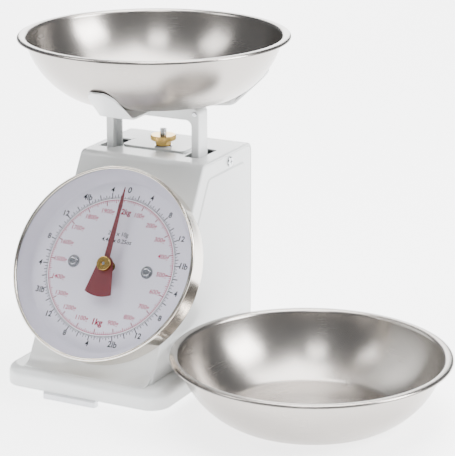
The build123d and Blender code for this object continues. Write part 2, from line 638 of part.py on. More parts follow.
# ================================================================ bowls
for name, x, y, z in (("weighing_bowl", 0, BOWL_Y, BOWL_Z), ("spare_bowl", SPARE_X, SPARE_Y, 0)):
    with BuildPart() as bowl:
        rim_z = BOWL_HEIGHT - BOWL_SHEET
        with BuildSketch(upright_section(x, y, z)):
            with BuildLine():
                bottom = Line((0, 0), (BOWL_FLAT - 3.0, 0))
                heel = TangentArc(bottom @ 1, (BOWL_FLAT + 5.0, 2.3), tangent=(1, 0))
                wall = ThreePointArc(heel @ 1, (BOWL_FLAT + 24.6, 18.6), (BOWL_WALL - 0.4, rim_z - 2.4))
                neck = TangentArc(wall @ 1, (BOWL_WALL + 2.0, rim_z), tangent=wall % 1)
                lip = Line(neck @ 1, (BOWL_RADIUS - 2.2, rim_z))
                TangentArc(lip @ 1, (BOWL_RADIUS - BOWL_SHEET, rim_z - 1.6), tangent=(1, 0))
                offset(amount=BOWL_SHEET, side=Side.LEFT)
            make_face()
        revolve(axis=Axis((x, y, 0), (0, 0, 1)))
    bowl.part.label = name
    export_step(bowl.part, f"parts/{name}.step")

# ================================================================ zero adjustment and springs
NUT_BASE = PLATEAU_TOP + 1.2
COLLAR_RADIUS, COLLAR_HEIGHT, KNOB_RADIUS, KNOB_HEIGHT = 6.75, 4.6, 11.0, 4.4
KNURLS = 48

with BuildPart() as zero_washer:
    with BuildSketch(Plane.XY.offset(PLATEAU_TOP + GAP)):
        with Locations((0, STUD_Y)):
            Circle(7.6)
            Circle(STUD_RADIUS + 0.3, mode=Mode.SUBTRACT)
    extrude(amount=1.2 - 2 * GAP)
zero_washer.part.label = "zero_washer"
export_step(zero_washer.part, "parts/zero_washer.step")

with BuildPart() as zero_nut:
    with BuildSketch(Plane.XY.offset(NUT_BASE)):
        with Locations((0, STUD_Y)):
            Circle(COLLAR_RADIUS)
    extrude(amount=COLLAR_HEIGHT)
    with BuildSketch(Plane.XY.offset(NUT_BASE + COLLAR_HEIGHT)):
        with Locations((0, STUD_Y)):
            Circle(KNOB_RADIUS)
    extrude(amount=KNOB_HEIGHT)
    chamfer(zero_nut.edges().filter_by(GeomType.CIRCLE).sort_by(SortBy.RADIUS)[-2:], 0.7)
    chamfer(zero_nut.edges().filter_by(GeomType.CIRCLE).group_by(Axis.Z)[0], 0.5)
    with BuildSketch(Plane.XY.offset(NUT_BASE + COLLAR_HEIGHT)):
        with Locations((0, STUD_Y)):
            with PolarLocations(KNOB_RADIUS + 0.15, KNURLS):
                Circle(0.42)
    extrude(amount=KNOB_HEIGHT, mode=Mode.SUBTRACT)
    with Locations((0, STUD_Y, NUT_BASE + COLLAR_HEIGHT + KNOB_HEIGHT)):
        Hole(STUD_RADIUS + 0.05)
zero_nut.part.label = "zero_nut"
export_step(zero_nut.part, "parts/zero_nut.step")

with BuildPart() as zero_stud:
    with BuildSketch(Plane.XY.offset(HANGER_Z - 3.0)):
        with Locations((0, STUD_Y)):
            Circle(STUD_RADIUS)
    extrude(amount=STUD_TOP - HANGER_Z + 3.0)
    chamfer(zero_stud.faces().sort_by(Axis.Z)[-1].edges(), 0.8)
    with BuildSketch(Plane.XY.offset(HANGER_Z - 3.0)):
        with Locations((0, STUD_Y)):
            RegularPolygon(5.0, 6)
    extrude(amount=3.0 - GAP)
zero_stud.part.label = "zero_stud"
export_step(zero_stud.part, "parts/zero_stud.step")

with BuildPart() as spring_hanger:
    with BuildSketch(Plane.XY.offset(HANGER_Z)):
        with Locations((0, STUD_Y)):
            RectangleRounded(2 * SPRING_X + 14.0, 12.0, 3.0)
            Circle(STUD_RADIUS + GAP, mode=Mode.SUBTRACT)
        with Locations(*EYE_HOLES):
            Circle(1.6, mode=Mode.SUBTRACT)
    extrude(amount=HANGER_SHEET)
spring_hanger.part.label = "spring_hanger"
export_step(spring_hanger.part, "parts/spring_hanger.step")

EYE_GAP = 0.1
EYE_LOW, EYE_HIGH = ANCHOR_Z + PLATE / 2, HANGER_Z + HANGER_SHEET / 2
EYE_REACH = EYE_RADIUS + 2 * WIRE_RADIUS + EYE_GAP
COIL_LOW, COIL_HIGH = EYE_LOW + EYE_REACH, EYE_HIGH - EYE_REACH
COIL_PITCH = 3.5

for side, name in ((-1, "left_spring"), (1, "right_spring")):
    with BuildPart() as spring:
        with BuildLine(Plane((side * SPRING_X, STUD_Y, COIL_LOW))) as coil:
            Helix(pitch=COIL_PITCH, height=COIL_HIGH - COIL_LOW, radius=SPRING_RADIUS)
        with BuildSketch(Plane(origin=coil.line @ 0, z_dir=coil.line % 0)):
            Circle(WIRE_RADIUS)
        sweep(is_frenet=True)
        # the two end eyes that hook into the hanger and the crossbar
        for z in (EYE_LOW, EYE_HIGH):
            with BuildSketch(Plane(origin=(side * SPRING_X, STUD_Y, z), x_dir=(0, 1, 0), z_dir=(0, 0, 1))):
                with Locations((EYE_RADIUS, 0)):
                    Circle(WIRE_RADIUS)
            revolve(axis=Axis((side * SPRING_X, STUD_Y, z), (1, 0, 0)))
    spring.part.label = name
    export_step(spring.part, f"parts/{name}.step")

# ================================================================ dial
CAN_SHEET = 0.8
BUSH_RADIUS, BUSH_LENGTH = 5.4, 5.0
SHAFT_R = 1.5
POST_RADIUS = 4.0
BACK = GAP

with BuildPart() as dial_can:
    with BuildSketch(DIAL_SECTION):
        with BuildLine():
            Line((6.6, BACK), (CAN_RADIUS - 3.0, BACK))
            RadiusArc((CAN_RADIUS - 3.0, BACK), (CAN_RADIUS, BACK + 3.0), -3.0)
            Line((CAN_RADIUS, BACK + 3.0), (CAN_RADIUS, CAN_DEPTH))
            Line((CAN_RADIUS, CAN_DEPTH), (CAN_RADIUS - CAN_SHEET, CAN_DEPTH))
            Line((CAN_RADIUS - CAN_SHEET, CAN_DEPTH), (CAN_RADIUS - CAN_SHEET, BACK + 3.0))
            RadiusArc((CAN_RADIUS - CAN_SHEET, BACK + 3.0), (CAN_RADIUS - 3.0, BACK + CAN_SHEET), 2.2)
            Line((CAN_RADIUS - 3.0, BACK + CAN_SHEET), (6.6, BACK + CAN_SHEET))
            Line((6.6, BACK + CAN_SHEET), (6.6, BACK))
        make_face()
    revolve(axis=DIAL_AXIS)
    with BuildSketch(DIAL.offset(3.0)):
        with Locations(*POSTS):
            Circle(2.1)
    extrude(amount=-6.0, mode=Mode.SUBTRACT)
dial_can.part.label = "dial_can"
export_step(dial_can.part, "parts/dial_can.step")

BEZEL_BACK, BEZEL_INNER = BEZEL_FRONT - 3.6, 80.4
with BuildPart() as bezel_ring:
    with BuildSketch(DIAL_SECTION):
        with BuildLine():
            Polyline(
                (BEZEL_RADIUS, BEZEL_BACK),
                (BEZEL_RADIUS, BEZEL_FRONT - 0.9),
                (BEZEL_RADIUS - 0.8, BEZEL_FRONT),
                (BEZEL_INNER + 0.5, BEZEL_FRONT),
                (BEZEL_INNER, BEZEL_FRONT - 0.5),
                (BEZEL_INNER, BEZEL_FRONT - 0.9),
                (CAN_RADIUS + 0.05, BEZEL_FRONT - 0.9),
                (CAN_RADIUS + 0.05, BEZEL_BACK),
                close=True,
            )
        make_face()
    revolve(axis=DIAL_AXIS)
    fillet(bezel_ring.edges().filter_by(GeomType.CIRCLE).sort_by(SortBy.RADIUS)[-2:], 0.3)
bezel_ring.part.label = "bezel_ring"
export_step(bezel_ring.part, "parts/bezel_ring.step")

LENS_BACK, LENS_FRONT = 21.2, BEZEL_FRONT - 0.95
with BuildPart() as dial_lens:
    with BuildSketch(DIAL.offset(LENS_BACK)):
        Circle(CAN_RADIUS - CAN_SHEET - 0.1)
    extrude(amount=LENS_FRONT - LENS_BACK)
    chamfer(dial_lens.edges(), 0.2)
dial_lens.part.label = "dial_lens"
export_step(dial_lens.part, "parts/dial_lens.step")

PAN_SHEET = 0.6
RIM_RADIUS, RIM_HEIGHT = CAN_RADIUS - CAN_SHEET - 0.4, LENS_BACK - 1.0
with BuildPart() as dial_plate:
    with BuildSketch(DIAL_SECTION):
        with BuildLine():
            FilletPolyline(
                (4.6, FACE_OFFSET - PAN_SHEET),
                (FACE_RADIUS + PAN_SHEET, FACE_OFFSET - PAN_SHEET),
                (RIM_RADIUS, RIM_HEIGHT),
                radius=2.6,
            )
            offset(amount=PAN_SHEET, side=Side.LEFT)
        make_face()
    revolve(axis=DIAL_AXIS)
    with BuildSketch(DIAL.offset(FACE_OFFSET + 2)):
        with Locations(*POSTS):
            Circle(2.1)
    extrude(amount=-4.0, mode=Mode.SUBTRACT)
dial_plate.part.label = "dial_plate"
export_step(dial_plate.part, "parts/dial_plate.step")

POST_LOW, POST_HIGH = BACK + CAN_SHEET + GAP, FACE_OFFSET - PAN_SHEET - GAP
with BuildPart() as dial_posts:
    with BuildSketch(DIAL.offset(POST_LOW)):
        with Locations(*POSTS):
            RegularPolygon(POST_RADIUS, 6)
            Circle(1.9, mode=Mode.SUBTRACT)
    extrude(amount=POST_HIGH - POST_LOW)
dial_posts.part.label = "dial_posts"
export_step(dial_posts.part, "parts/dial_posts.step")

with BuildPart() as dial_washers:
    with BuildSketch(DIAL.offset(FACE_OFFSET + GAP)):
        with Locations(*POSTS):
            Circle(5.4)
            Circle(2.0, mode=Mode.SUBTRACT)
    extrude(amount=0.8)
    chamfer(dial_washers.edges().filter_by(GeomType.CIRCLE).group_by(SortBy.RADIUS)[-1], 0.2)
dial_washers.part.label = "dial_washers"
export_step(dial_washers.part, "parts/dial_washers.step")

SCREW_SEAT = FACE_OFFSET + 0.8 + 2 * GAP
with BuildPart() as dial_screws:
    with BuildSketch(DIAL.offset(SCREW_SEAT)):
        with Locations(*POSTS):
            Circle(3.4)
    extrude(amount=2.0)
    fillet(dial_screws.faces().sort_by(Axis(DIAL_ORIGIN, DIAL_NORMAL))[-2:].edges(), 1.2)
    with BuildSketch(DIAL.offset(SCREW_SEAT + 1.0)):
        with Locations(*POSTS):
            Rectangle(3.6, 0.8)
            Rectangle(0.8, 3.6)
    extrude(amount=2.0, mode=Mode.SUBTRACT)
    with BuildSketch(DIAL.offset(SCREW_SEAT)):
        with Locations(*POSTS):
            Circle(1.75)
    extrude(amount=-SCREW_SEAT - 4.5)
dial_screws.part.label = "dial_screws"
export_step(dial_screws.part, "parts/dial_screws.step")

# ---------------------------------------------------------------- movement behind the dial
PLATE_FRONT = -SHEET - GAP
BRIDGE_X, BRIDGE_REAR, BRIDGE_HALF = 24.0, -58.0, 9.0
BRIDGE_FRONT = PLATE_FRONT - PLATE - GAP

with BuildPart() as movement_plate:
    with BuildSketch(DIAL.offset(PLATE_FRONT)):
        RectangleRounded(84.0, 24.0, 4.0)
        Circle(BUSH_RADIUS + 0.05, mode=Mode.SUBTRACT)
        with Locations(*POSTS):
            Circle(1.8, mode=Mode.SUBTRACT)
    extrude(amount=-PLATE)
movement_plate.part.label = "movement_plate"
export_step(movement_plate.part, "parts/movement_plate.step")

with BuildPart() as movement_bridge:
    with BuildSketch(DIAL.offset(BRIDGE_FRONT)):
        RectangleRounded(2 * BRIDGE_X + 16.0, 2 * BRIDGE_HALF, 3.0)
        Rectangle(2 * BRIDGE_X, 2 * BRIDGE_HALF, mode=Mode.SUBTRACT)
    extrude(amount=-PLATE)
    for side in (-1, 1):
        with BuildSketch(DIAL.offset(BRIDGE_FRONT)):
            with Locations((side * (BRIDGE_X + PLATE / 2), 0)):
                Rectangle(PLATE, 2 * BRIDGE_HALF)
        extrude(amount=BRIDGE_REAR - BRIDGE_FRONT)
    with BuildSketch(DIAL.offset(BRIDGE_REAR)):
        RectangleRounded(2 * (BRIDGE_X + PLATE), 2 * BRIDGE_HALF, 0.5)
        Circle(3.05, mode=Mode.SUBTRACT)
    extrude(amount=PLATE)
    with BuildSketch(DIAL.offset(BRIDGE_FRONT + 1)):
        with GridLocations(2 * BRIDGE_X + 10.0, 10.0, 2, 2):
            Circle(1.3)
    extrude(amount=-4.0, mode=Mode.SUBTRACT)
movement_bridge.part.label = "movement_bridge"
export_step(movement_bridge.part, "parts/movement_bridge.step")

with BuildPart() as front_bush:
    with BuildSketch(DIAL.offset(PLATE_FRONT - PLATE - 1.2)):
        Circle(BUSH_RADIUS)
    extrude(amount=BUSH_LENGTH + 1.2)
    with BuildSketch(DIAL.offset(PLATE_FRONT - PLATE - 1.2)):
        Circle(BUSH_RADIUS + 1.6)
    extrude(amount=1.15)
    with BuildSketch(DIAL.offset(PLATE_FRONT - PLATE - 2)):
        Circle(SHAFT_R + 0.05)
    extrude(amount=BUSH_LENGTH + 4, mode=Mode.SUBTRACT)
front_bush.part.label = "front_bush"
export_step(front_bush.part, "parts/front_bush.step")

with BuildPart() as rear_bush:
    with BuildSketch(DIAL.offset(BRIDGE_REAR - 2.0)):
        Circle(3.0)
        Circle(SHAFT_R + 0.05, mode=Mode.SUBTRACT)
    extrude(amount=PLATE + 4.0)
    with BuildSketch(DIAL.offset(BRIDGE_REAR + PLATE + GAP)):
        Circle(4.6)
        Circle(SHAFT_R + 0.05, mode=Mode.SUBTRACT)
    extrude(amount=1.0)
rear_bush.part.label = "rear_bush"
export_step(rear_bush.part, "parts/rear_bush.step")

# ---------------------------------------------------------------- pointer, shaft and pinion
BLADE_BACK, BLADE_SHEET = 16.5, 0.5
CAP_RADIUS, CAP_FRONT = 6.2, 20.9
POINTER_REST = 1.0  # reading of the empty scale, degrees clockwise of the zero mark
POINTER = Plane(DIAL.offset(BLADE_BACK).location * Location((0, 0, 0), (0, 0, -POINTER_REST)))
TAIL_RADIUS, TAIL_SPREAD = 27.6, 27.0
# half width of the needle and the distance from the axis where it has it
NEEDLE = [(2.7, 4.0), (2.2, 26.0), (1.5, 44.0), (1.8, 51.0), (0.3, 66.9)]

with BuildPart() as pointer_shaft:
    with BuildSketch(DIAL.offset(BRIDGE_REAR - 3.5)):
        Circle(SHAFT_R)
    extrude(amount=CAP_FRONT - 0.6 - BRIDGE_REAR + 3.5)
    chamfer(pointer_shaft.edges(), 0.25)
pointer_shaft.part.label = "pointer_shaft"
export_step(pointer_shaft.part, "parts/pointer_shaft.step")

with BuildPart() as drive_pinion:
    with BuildSketch(PINION_PLANE):
        Circle(PITCH_RADIUS - 0.42)
        with PolarLocations(0, PINION_TEETH, start_angle=180 / PINION_TEETH):
            Polygon((0.8, -0.34), (PITCH_RADIUS - 0.35, -0.31), (PITCH_RADIUS + 0.3, -0.11),
                    (PITCH_RADIUS + 0.3, 0.11), (PITCH_RADIUS - 0.35, 0.31), (0.8, 0.34), align=None)
        Circle(SHAFT_R + 0.01, mode=Mode.SUBTRACT)
    extrude(amount=6.0, both=True)
    with BuildSketch(PINION_PLANE.offset(6.0)):
        Circle(3.2)
        Circle(SHAFT_R + 0.01, mode=Mode.SUBTRACT)
    extrude(amount=3.0)
drive_pinion.part.label = "drive_pinion"
export_step(drive_pinion.part, "parts/drive_pinion.step")

with BuildPart() as pointer_blade:
    with BuildSketch(POINTER):
        Circle(7.2)
        with BuildLine():
            Polyline(
                *[(-half_width, reach) for half_width, reach in NEEDLE],
                *[(half_width, reach) for half_width, reach in reversed(NEEDLE)],
                close=True,
            )
        make_face()
        tail_x = TAIL_RADIUS * sin(radians(TAIL_SPREAD))
        tail_y = -TAIL_RADIUS * cos(radians(TAIL_SPREAD))
        with BuildLine():
            Line((-7.0, 1.5), (-tail_x, tail_y))
            ThreePointArc((-tail_x, tail_y), (0, -TAIL_RADIUS), (tail_x, tail_y))
            Line((tail_x, tail_y), (7.0, 1.5))
            Line((7.0, 1.5), (-7.0, 1.5))
        make_face()
        Circle(SHAFT_R + 0.05, mode=Mode.SUBTRACT)
    extrude(amount=BLADE_SHEET)
pointer_blade.part.label = "pointer_blade"
export_step(pointer_blade.part, "parts/pointer_blade.step")

with BuildPart() as pointer_cap:
    with BuildSketch(DIAL.offset(BLADE_BACK + BLADE_SHEET + GAP)):
        Circle(CAP_RADIUS)
    extrude(amount=CAP_FRONT - BLADE_BACK - BLADE_SHEET - GAP)
    fillet(pointer_cap.faces().sort_by(DIAL_AXIS)[-1].edges(), 0.8)
    with BuildSketch(DIAL.offset(CAP_FRONT)):
        Circle(2.0)
    extrude(amount=-0.8, mode=Mode.SUBTRACT)
    with BuildSketch(DIAL.offset(BLADE_BACK)):
        Circle(SHAFT_R + 0.01)
    extrude(amount=10.0, mode=Mode.SUBTRACT)
pointer_cap.part.label = "pointer_cap"
export_step(pointer_cap.part, "parts/pointer_cap.step")

with BuildPart() as pointer_boss:
    with BuildSketch(DIAL.offset(BLADE_BACK - 3.5)):
        Circle(4.0)
        Circle(SHAFT_R + 0.01, mode=Mode.SUBTRACT)
    extrude(amount=3.5 - GAP)
pointer_boss.part.label = "pointer_boss"
export_step(pointer_boss.part, "parts/pointer_boss.step")
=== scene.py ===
"""Looks of the kitchen scale: finishes, smooth visible surfaces, dial print, stage, lights and camera."""

import json
import logging
import math
from dataclasses import dataclass, field
from enum import Enum

import bpy
import bmesh
from mathutils import Matrix, Vector


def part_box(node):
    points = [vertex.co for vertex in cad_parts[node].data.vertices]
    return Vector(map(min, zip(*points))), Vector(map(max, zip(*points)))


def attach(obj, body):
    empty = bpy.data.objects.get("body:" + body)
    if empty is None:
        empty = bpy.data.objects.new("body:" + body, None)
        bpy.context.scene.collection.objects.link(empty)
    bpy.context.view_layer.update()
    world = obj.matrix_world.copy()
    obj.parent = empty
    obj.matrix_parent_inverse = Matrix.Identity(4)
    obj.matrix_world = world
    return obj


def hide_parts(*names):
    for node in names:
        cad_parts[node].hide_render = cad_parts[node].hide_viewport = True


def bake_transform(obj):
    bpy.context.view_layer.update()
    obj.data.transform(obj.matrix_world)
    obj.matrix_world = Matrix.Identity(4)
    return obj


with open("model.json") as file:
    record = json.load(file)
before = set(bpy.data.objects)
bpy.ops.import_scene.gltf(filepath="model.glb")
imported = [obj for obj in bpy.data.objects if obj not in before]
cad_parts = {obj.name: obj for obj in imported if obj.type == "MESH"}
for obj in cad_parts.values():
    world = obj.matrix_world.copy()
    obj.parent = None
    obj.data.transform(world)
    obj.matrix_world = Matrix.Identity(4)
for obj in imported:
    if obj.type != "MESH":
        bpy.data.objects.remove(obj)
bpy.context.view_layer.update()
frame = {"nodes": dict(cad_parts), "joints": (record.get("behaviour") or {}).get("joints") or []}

logging.basicConfig(level=logging.INFO, format="%(message)s")
log = logging.getLogger("scale")

MM = 0.001
OUNCE_GRAMS = 28.3495
POUND_OUNCES = 16
DIAL_GRAMS = 2000  # one turn of the pointer
SMOOTH_BELOW = math.radians(35)  # edges that turn more than this stay crisp
Profile = list[tuple[float, float]]
Point = tuple[float, float, float]


# ------------------------------------------------------------------ small helpers
def hex_linear(code: str) -> tuple[float, float, float, float]:
    """Turn an sRGB hex colour into linear RGBA.

    Args:
        code: six hex digits, such as "E8E9EA".

    Returns:
        The colour that shader sockets expect.
    """
    parts = [int(code[i:i + 2], 16) / 255 for i in (0, 2, 4)]
    linear = [c / 12.92 if c <= 0.04045 else ((c + 0.055) / 1.055) ** 2.4 for c in parts]
    return (*linear, 1.0)


def add_node(tree: bpy.types.NodeTree, kind: str, settings: dict | None = None, **inputs) -> bpy.types.Node:
    """Add one node with its settings, values and links.

    Args:
        tree: the node tree.
        kind: Blender's node type name.
        settings: node properties to set, by name.
        **inputs: value or output socket for each input; an index is written as i0, i1 and so on.

    Returns:
        The new node.
    """
    node = tree.nodes.new(kind)
    for key, value in (settings or {}).items():
        setattr(node, key, value)
    for key, value in inputs.items():
        name = int(key[1:]) if key[0] == "i" and key[1:].isdigit() else key.replace("_", " ")
        socket = node.inputs[name]
        if isinstance(value, bpy.types.NodeSocket):
            tree.links.new(value, socket)
        else:
            socket.default_value = value
    return node


def shader_tree(name: str) -> tuple[bpy.types.Material, bpy.types.NodeTree, bpy.types.Node]:
    """Start a material.

    Args:
        name: name of the material.

    Returns:
        The material, its tree and its Principled shader, which is joined to the output.
    """
    material = bpy.data.materials.new(name)
    material.use_nodes = True
    tree = material.node_tree
    return material, tree, tree.nodes["Principled BSDF"]


def ramp(tree: bpy.types.NodeTree, value: bpy.types.NodeSocket, low: float, high: float) -> bpy.types.NodeSocket:
    """Stretch a 0 to 1 value to the range from low to high.

    Args:
        tree: the node tree.
        value: output socket of the value.
        low: what 0 becomes.
        high: what 1 becomes.

    Returns:
        The output socket of the stretched value.
    """
    return add_node(tree, "ShaderNodeMapRange", {}, Value=value, To_Min=low, To_Max=high).outputs[0]


def put(name: str, data: bpy.types.ID) -> bpy.types.Object:
    """Add an object to the scene.

    Args:
        name: name of the object.
        data: its mesh, curve, light or camera.

    Returns:
        The new object, at the origin.
    """
    made = bpy.data.objects.new(name, data)
    bpy.context.scene.collection.objects.link(made)
    return made


def settle(holder: bpy.types.Object) -> bpy.types.Mesh:
    """Turn a curve, a text or a piece with modifiers into a plain mesh, and remove it.

    Args:
        holder: the object that makes the shape.

    Returns:
        The mesh of its evaluated shape.
    """
    graph = bpy.context.evaluated_depsgraph_get()
    mesh = bpy.data.meshes.new_from_object(holder.evaluated_get(graph))
    bpy.data.objects.remove(holder)
    return mesh


def mesh_piece(name: str, vertices: list, faces: list, material: bpy.types.Material, smooth: bool = True
               ) -> bpy.types.Object:
    """Make an object in place from lists of vertices (metres) and faces.

    Args:
        name: name of the piece.
        vertices: points in the scale's frame.
        faces: vertex indices of each face.
        material: finish of the whole piece.
        smooth: smooth shading, but for the crisp edges.

    Returns:
        The new object.
    """
    mesh = bpy.data.meshes.new(name)
    mesh.from_pydata([tuple(v) for v in vertices], [], faces)
    mesh.materials.append(material)
    piece = put(name, mesh)
    sheet = bmesh.new()
    sheet.from_mesh(mesh)
    bmesh.ops.remove_doubles(sheet, verts=sheet.verts, dist=1e-7)
    bmesh.ops.recalc_face_normals(sheet, faces=sheet.faces)
    sheet.to_mesh(mesh)
    sheet.free()
    if smooth:
        mesh.shade_smooth()
        mesh.set_sharp_from_angle(angle=SMOOTH_BELOW)
    return piece


def dress(node: str, material: bpy.types.Material) -> None:
    """Give a CAD node its finish.

    Args:
        node: name of the CAD node.
        material: its finish.
    """
    piece = frame["nodes"][node]
    piece.data.materials.clear()
    piece.data.materials.append(material)
    log.info("dressed %s in %s", node, material.name)


def arc(start: tuple[float, float], middle: tuple[float, float], end: tuple[float, float], steps: int) -> Profile:
    """Points of the arc through three points, without the first.

    Args:
        start: first point.
        middle: any point between.
        end: last point.
        steps: number of pieces.

    Returns:
        The points after start.
    """
    (ax, ay), (bx, by), (cx, cy) = start, middle, end
    d = 2 * (ax * (by - cy) + bx * (cy - ay) + cx * (ay - by))
    a2, b2, c2 = ax * ax + ay * ay, bx * bx + by * by, cx * cx + cy * cy
    ux = (a2 * (by - cy) + b2 * (cy - ay) + c2 * (ay - by)) / d
    uy = (a2 * (cx - bx) + b2 * (ax - cx) + c2 * (bx - ax)) / d
    radius = math.hypot(ax - ux, ay - uy)
    angle_0, angle_1 = math.atan2(ay - uy, ax - ux), math.atan2(cy - uy, cx - ux)
    turn = (angle_1 - angle_0 + math.pi) % (2 * math.pi) - math.pi
    return [
        (ux + radius * math.cos(angle_0 + turn * i / steps), uy + radius * math.sin(angle_0 + turn * i / steps))
        for i in range(1, steps + 1)
    ]


def thicken(path: Profile, sheet: float) -> Profile:
    """Close a path into the outline of a sheet that lies on its left, with a rounded free edge.

    Args:
        path: points from the axis outwards.
        sheet: thickness.

    Returns:
        Points out along the path and back along its offset.
    """
    inner = []
    for i, (x, y) in enumerate(path):
        (px, py), (nx, ny) = path[max(i - 1, 0)], path[min(i + 1, len(path) - 1)]
        length = math.hypot(nx - px, ny - py)
        inner.append((max(x - (ny - py) / length * sheet, 0.0), y + (nx - px) / length * sheet))
    (ex, ey), (ix, iy) = path[-1], inner[-1]
    (px, py) = path[-2]
    length = math.hypot(ex - px, ey - py)
    bulge = ((ex + ix) / 2 + (ex - px) / length * sheet * 0.3, (ey + iy) / 2 + (ey - py) / length * sheet * 0.3)
    return path + [bulge] + inner[::-1]


@dataclass(frozen=True)
class Seat:
    """A local frame: origin and three square directions, in metres."""

    origin: Vector
    right: Vector
    up: Vector
    out: Vector

    def at(self, x: float, y: float, z: float) -> Vector:
        """Find a point of the scale's frame.

        Args:
            x: millimetres along right.
            y: millimetres along up.
            z: millimetres along out.

        Returns:
            The point in metres.
        """
        return self.origin + (self.right * x + self.up * y + self.out * z) * MM

    def matrix(self) -> Matrix:
        """Find the seat's placement.

        Returns:
            The matrix that takes local metres into the scale's frame.
        """
        turn = Matrix((self.right, self.up, self.out)).transposed().to_4x4()
        return Matrix.Translation(self.origin) @ turn


def lathe(name: str, profile: Profile, seat: Seat, material: bpy.types.Material, turns: int = 192
          ) -> bpy.types.Object:
    """Turn a closed profile about the seat's out direction.

    Args:
        name: name of the piece.
        profile: radius and height in millimetres, a closed loop.
        seat: frame of the axis.
        material: finish.
        turns: pieces round the axis.

    Returns:
        The piece.
    """
    vertices, faces, count = [], [], len(profile)
    for turn in range(turns):
        angle = 2 * math.pi * turn / turns
        vertices += [seat.at(r * math.cos(angle), r * math.sin(angle), h) for r, h in profile]
    for turn in range(turns):
        here, there = turn * count, (turn + 1) % turns * count
        for i in range(count):
            j = (i + 1) % count
            if profile[i][0] > 1e-6 or profile[j][0] > 1e-6:
                faces.append((here + i, there + i, there + j, here + j))
    piece = mesh_piece(name, vertices, faces, material)
    log.info("turned %s, %d faces", name, len(piece.data.polygons))
    return piece


# ------------------------------------------------------------------ finishes
class Lay(Enum):
    """Which way the fine lines of a worked metal run."""

    ROUND_Z = "round the upright axis"
    ALONG_X = "along X"
    NONE = "no lines"


@dataclass(frozen=True)
class PowderCoat:
    """Powder coated steel: a soft satin white whose faint orange peel blurs the highlights."""

    name: str = "powder_coated_steel"
    colour: str = "DDDFDF"
    thin_colour: str = "D5D8D8"
    roughness: float = 0.34
    peel_mm: float = 1.6
    peel_depth: float = 0.05

    def material(self) -> bpy.types.Material:
        """Build the finish.

        Returns:
            The material.
        """
        material, tree, shader = shader_tree(self.name)
        place = add_node(tree, "ShaderNodeTexCoord").outputs["Object"]
        peel = add_node(tree, "ShaderNodeTexNoise", {}, Vector=place, Scale=1 / (self.peel_mm * MM), Detail=2.0)
        cloud = add_node(tree, "ShaderNodeTexNoise", {}, Vector=place, Scale=18.0, Detail=3.0)
        bump = add_node(tree, "ShaderNodeBump", {}, Strength=self.peel_depth, Distance=0.1 * MM,
                        Height=peel.outputs["Fac"])
        tint = add_node(tree, "ShaderNodeMix", {"data_type": "RGBA"},
                        Factor=ramp(tree, cloud.outputs["Fac"], 0, 0.35), i6=hex_linear(self.colour),
                        i7=hex_linear(self.thin_colour))
        tree.links.new(tint.outputs[2], shader.inputs["Base Color"])
        tree.links.new(ramp(tree, cloud.outputs["Fac"], self.roughness - 0.04, self.roughness + 0.06),
                       shader.inputs["Roughness"])
        tree.links.new(bump.outputs["Normal"], shader.inputs["Normal"])
        shader.inputs["Coat Weight"].default_value = 0.35
        shader.inputs["Coat Roughness"].default_value = 0.12
        return material


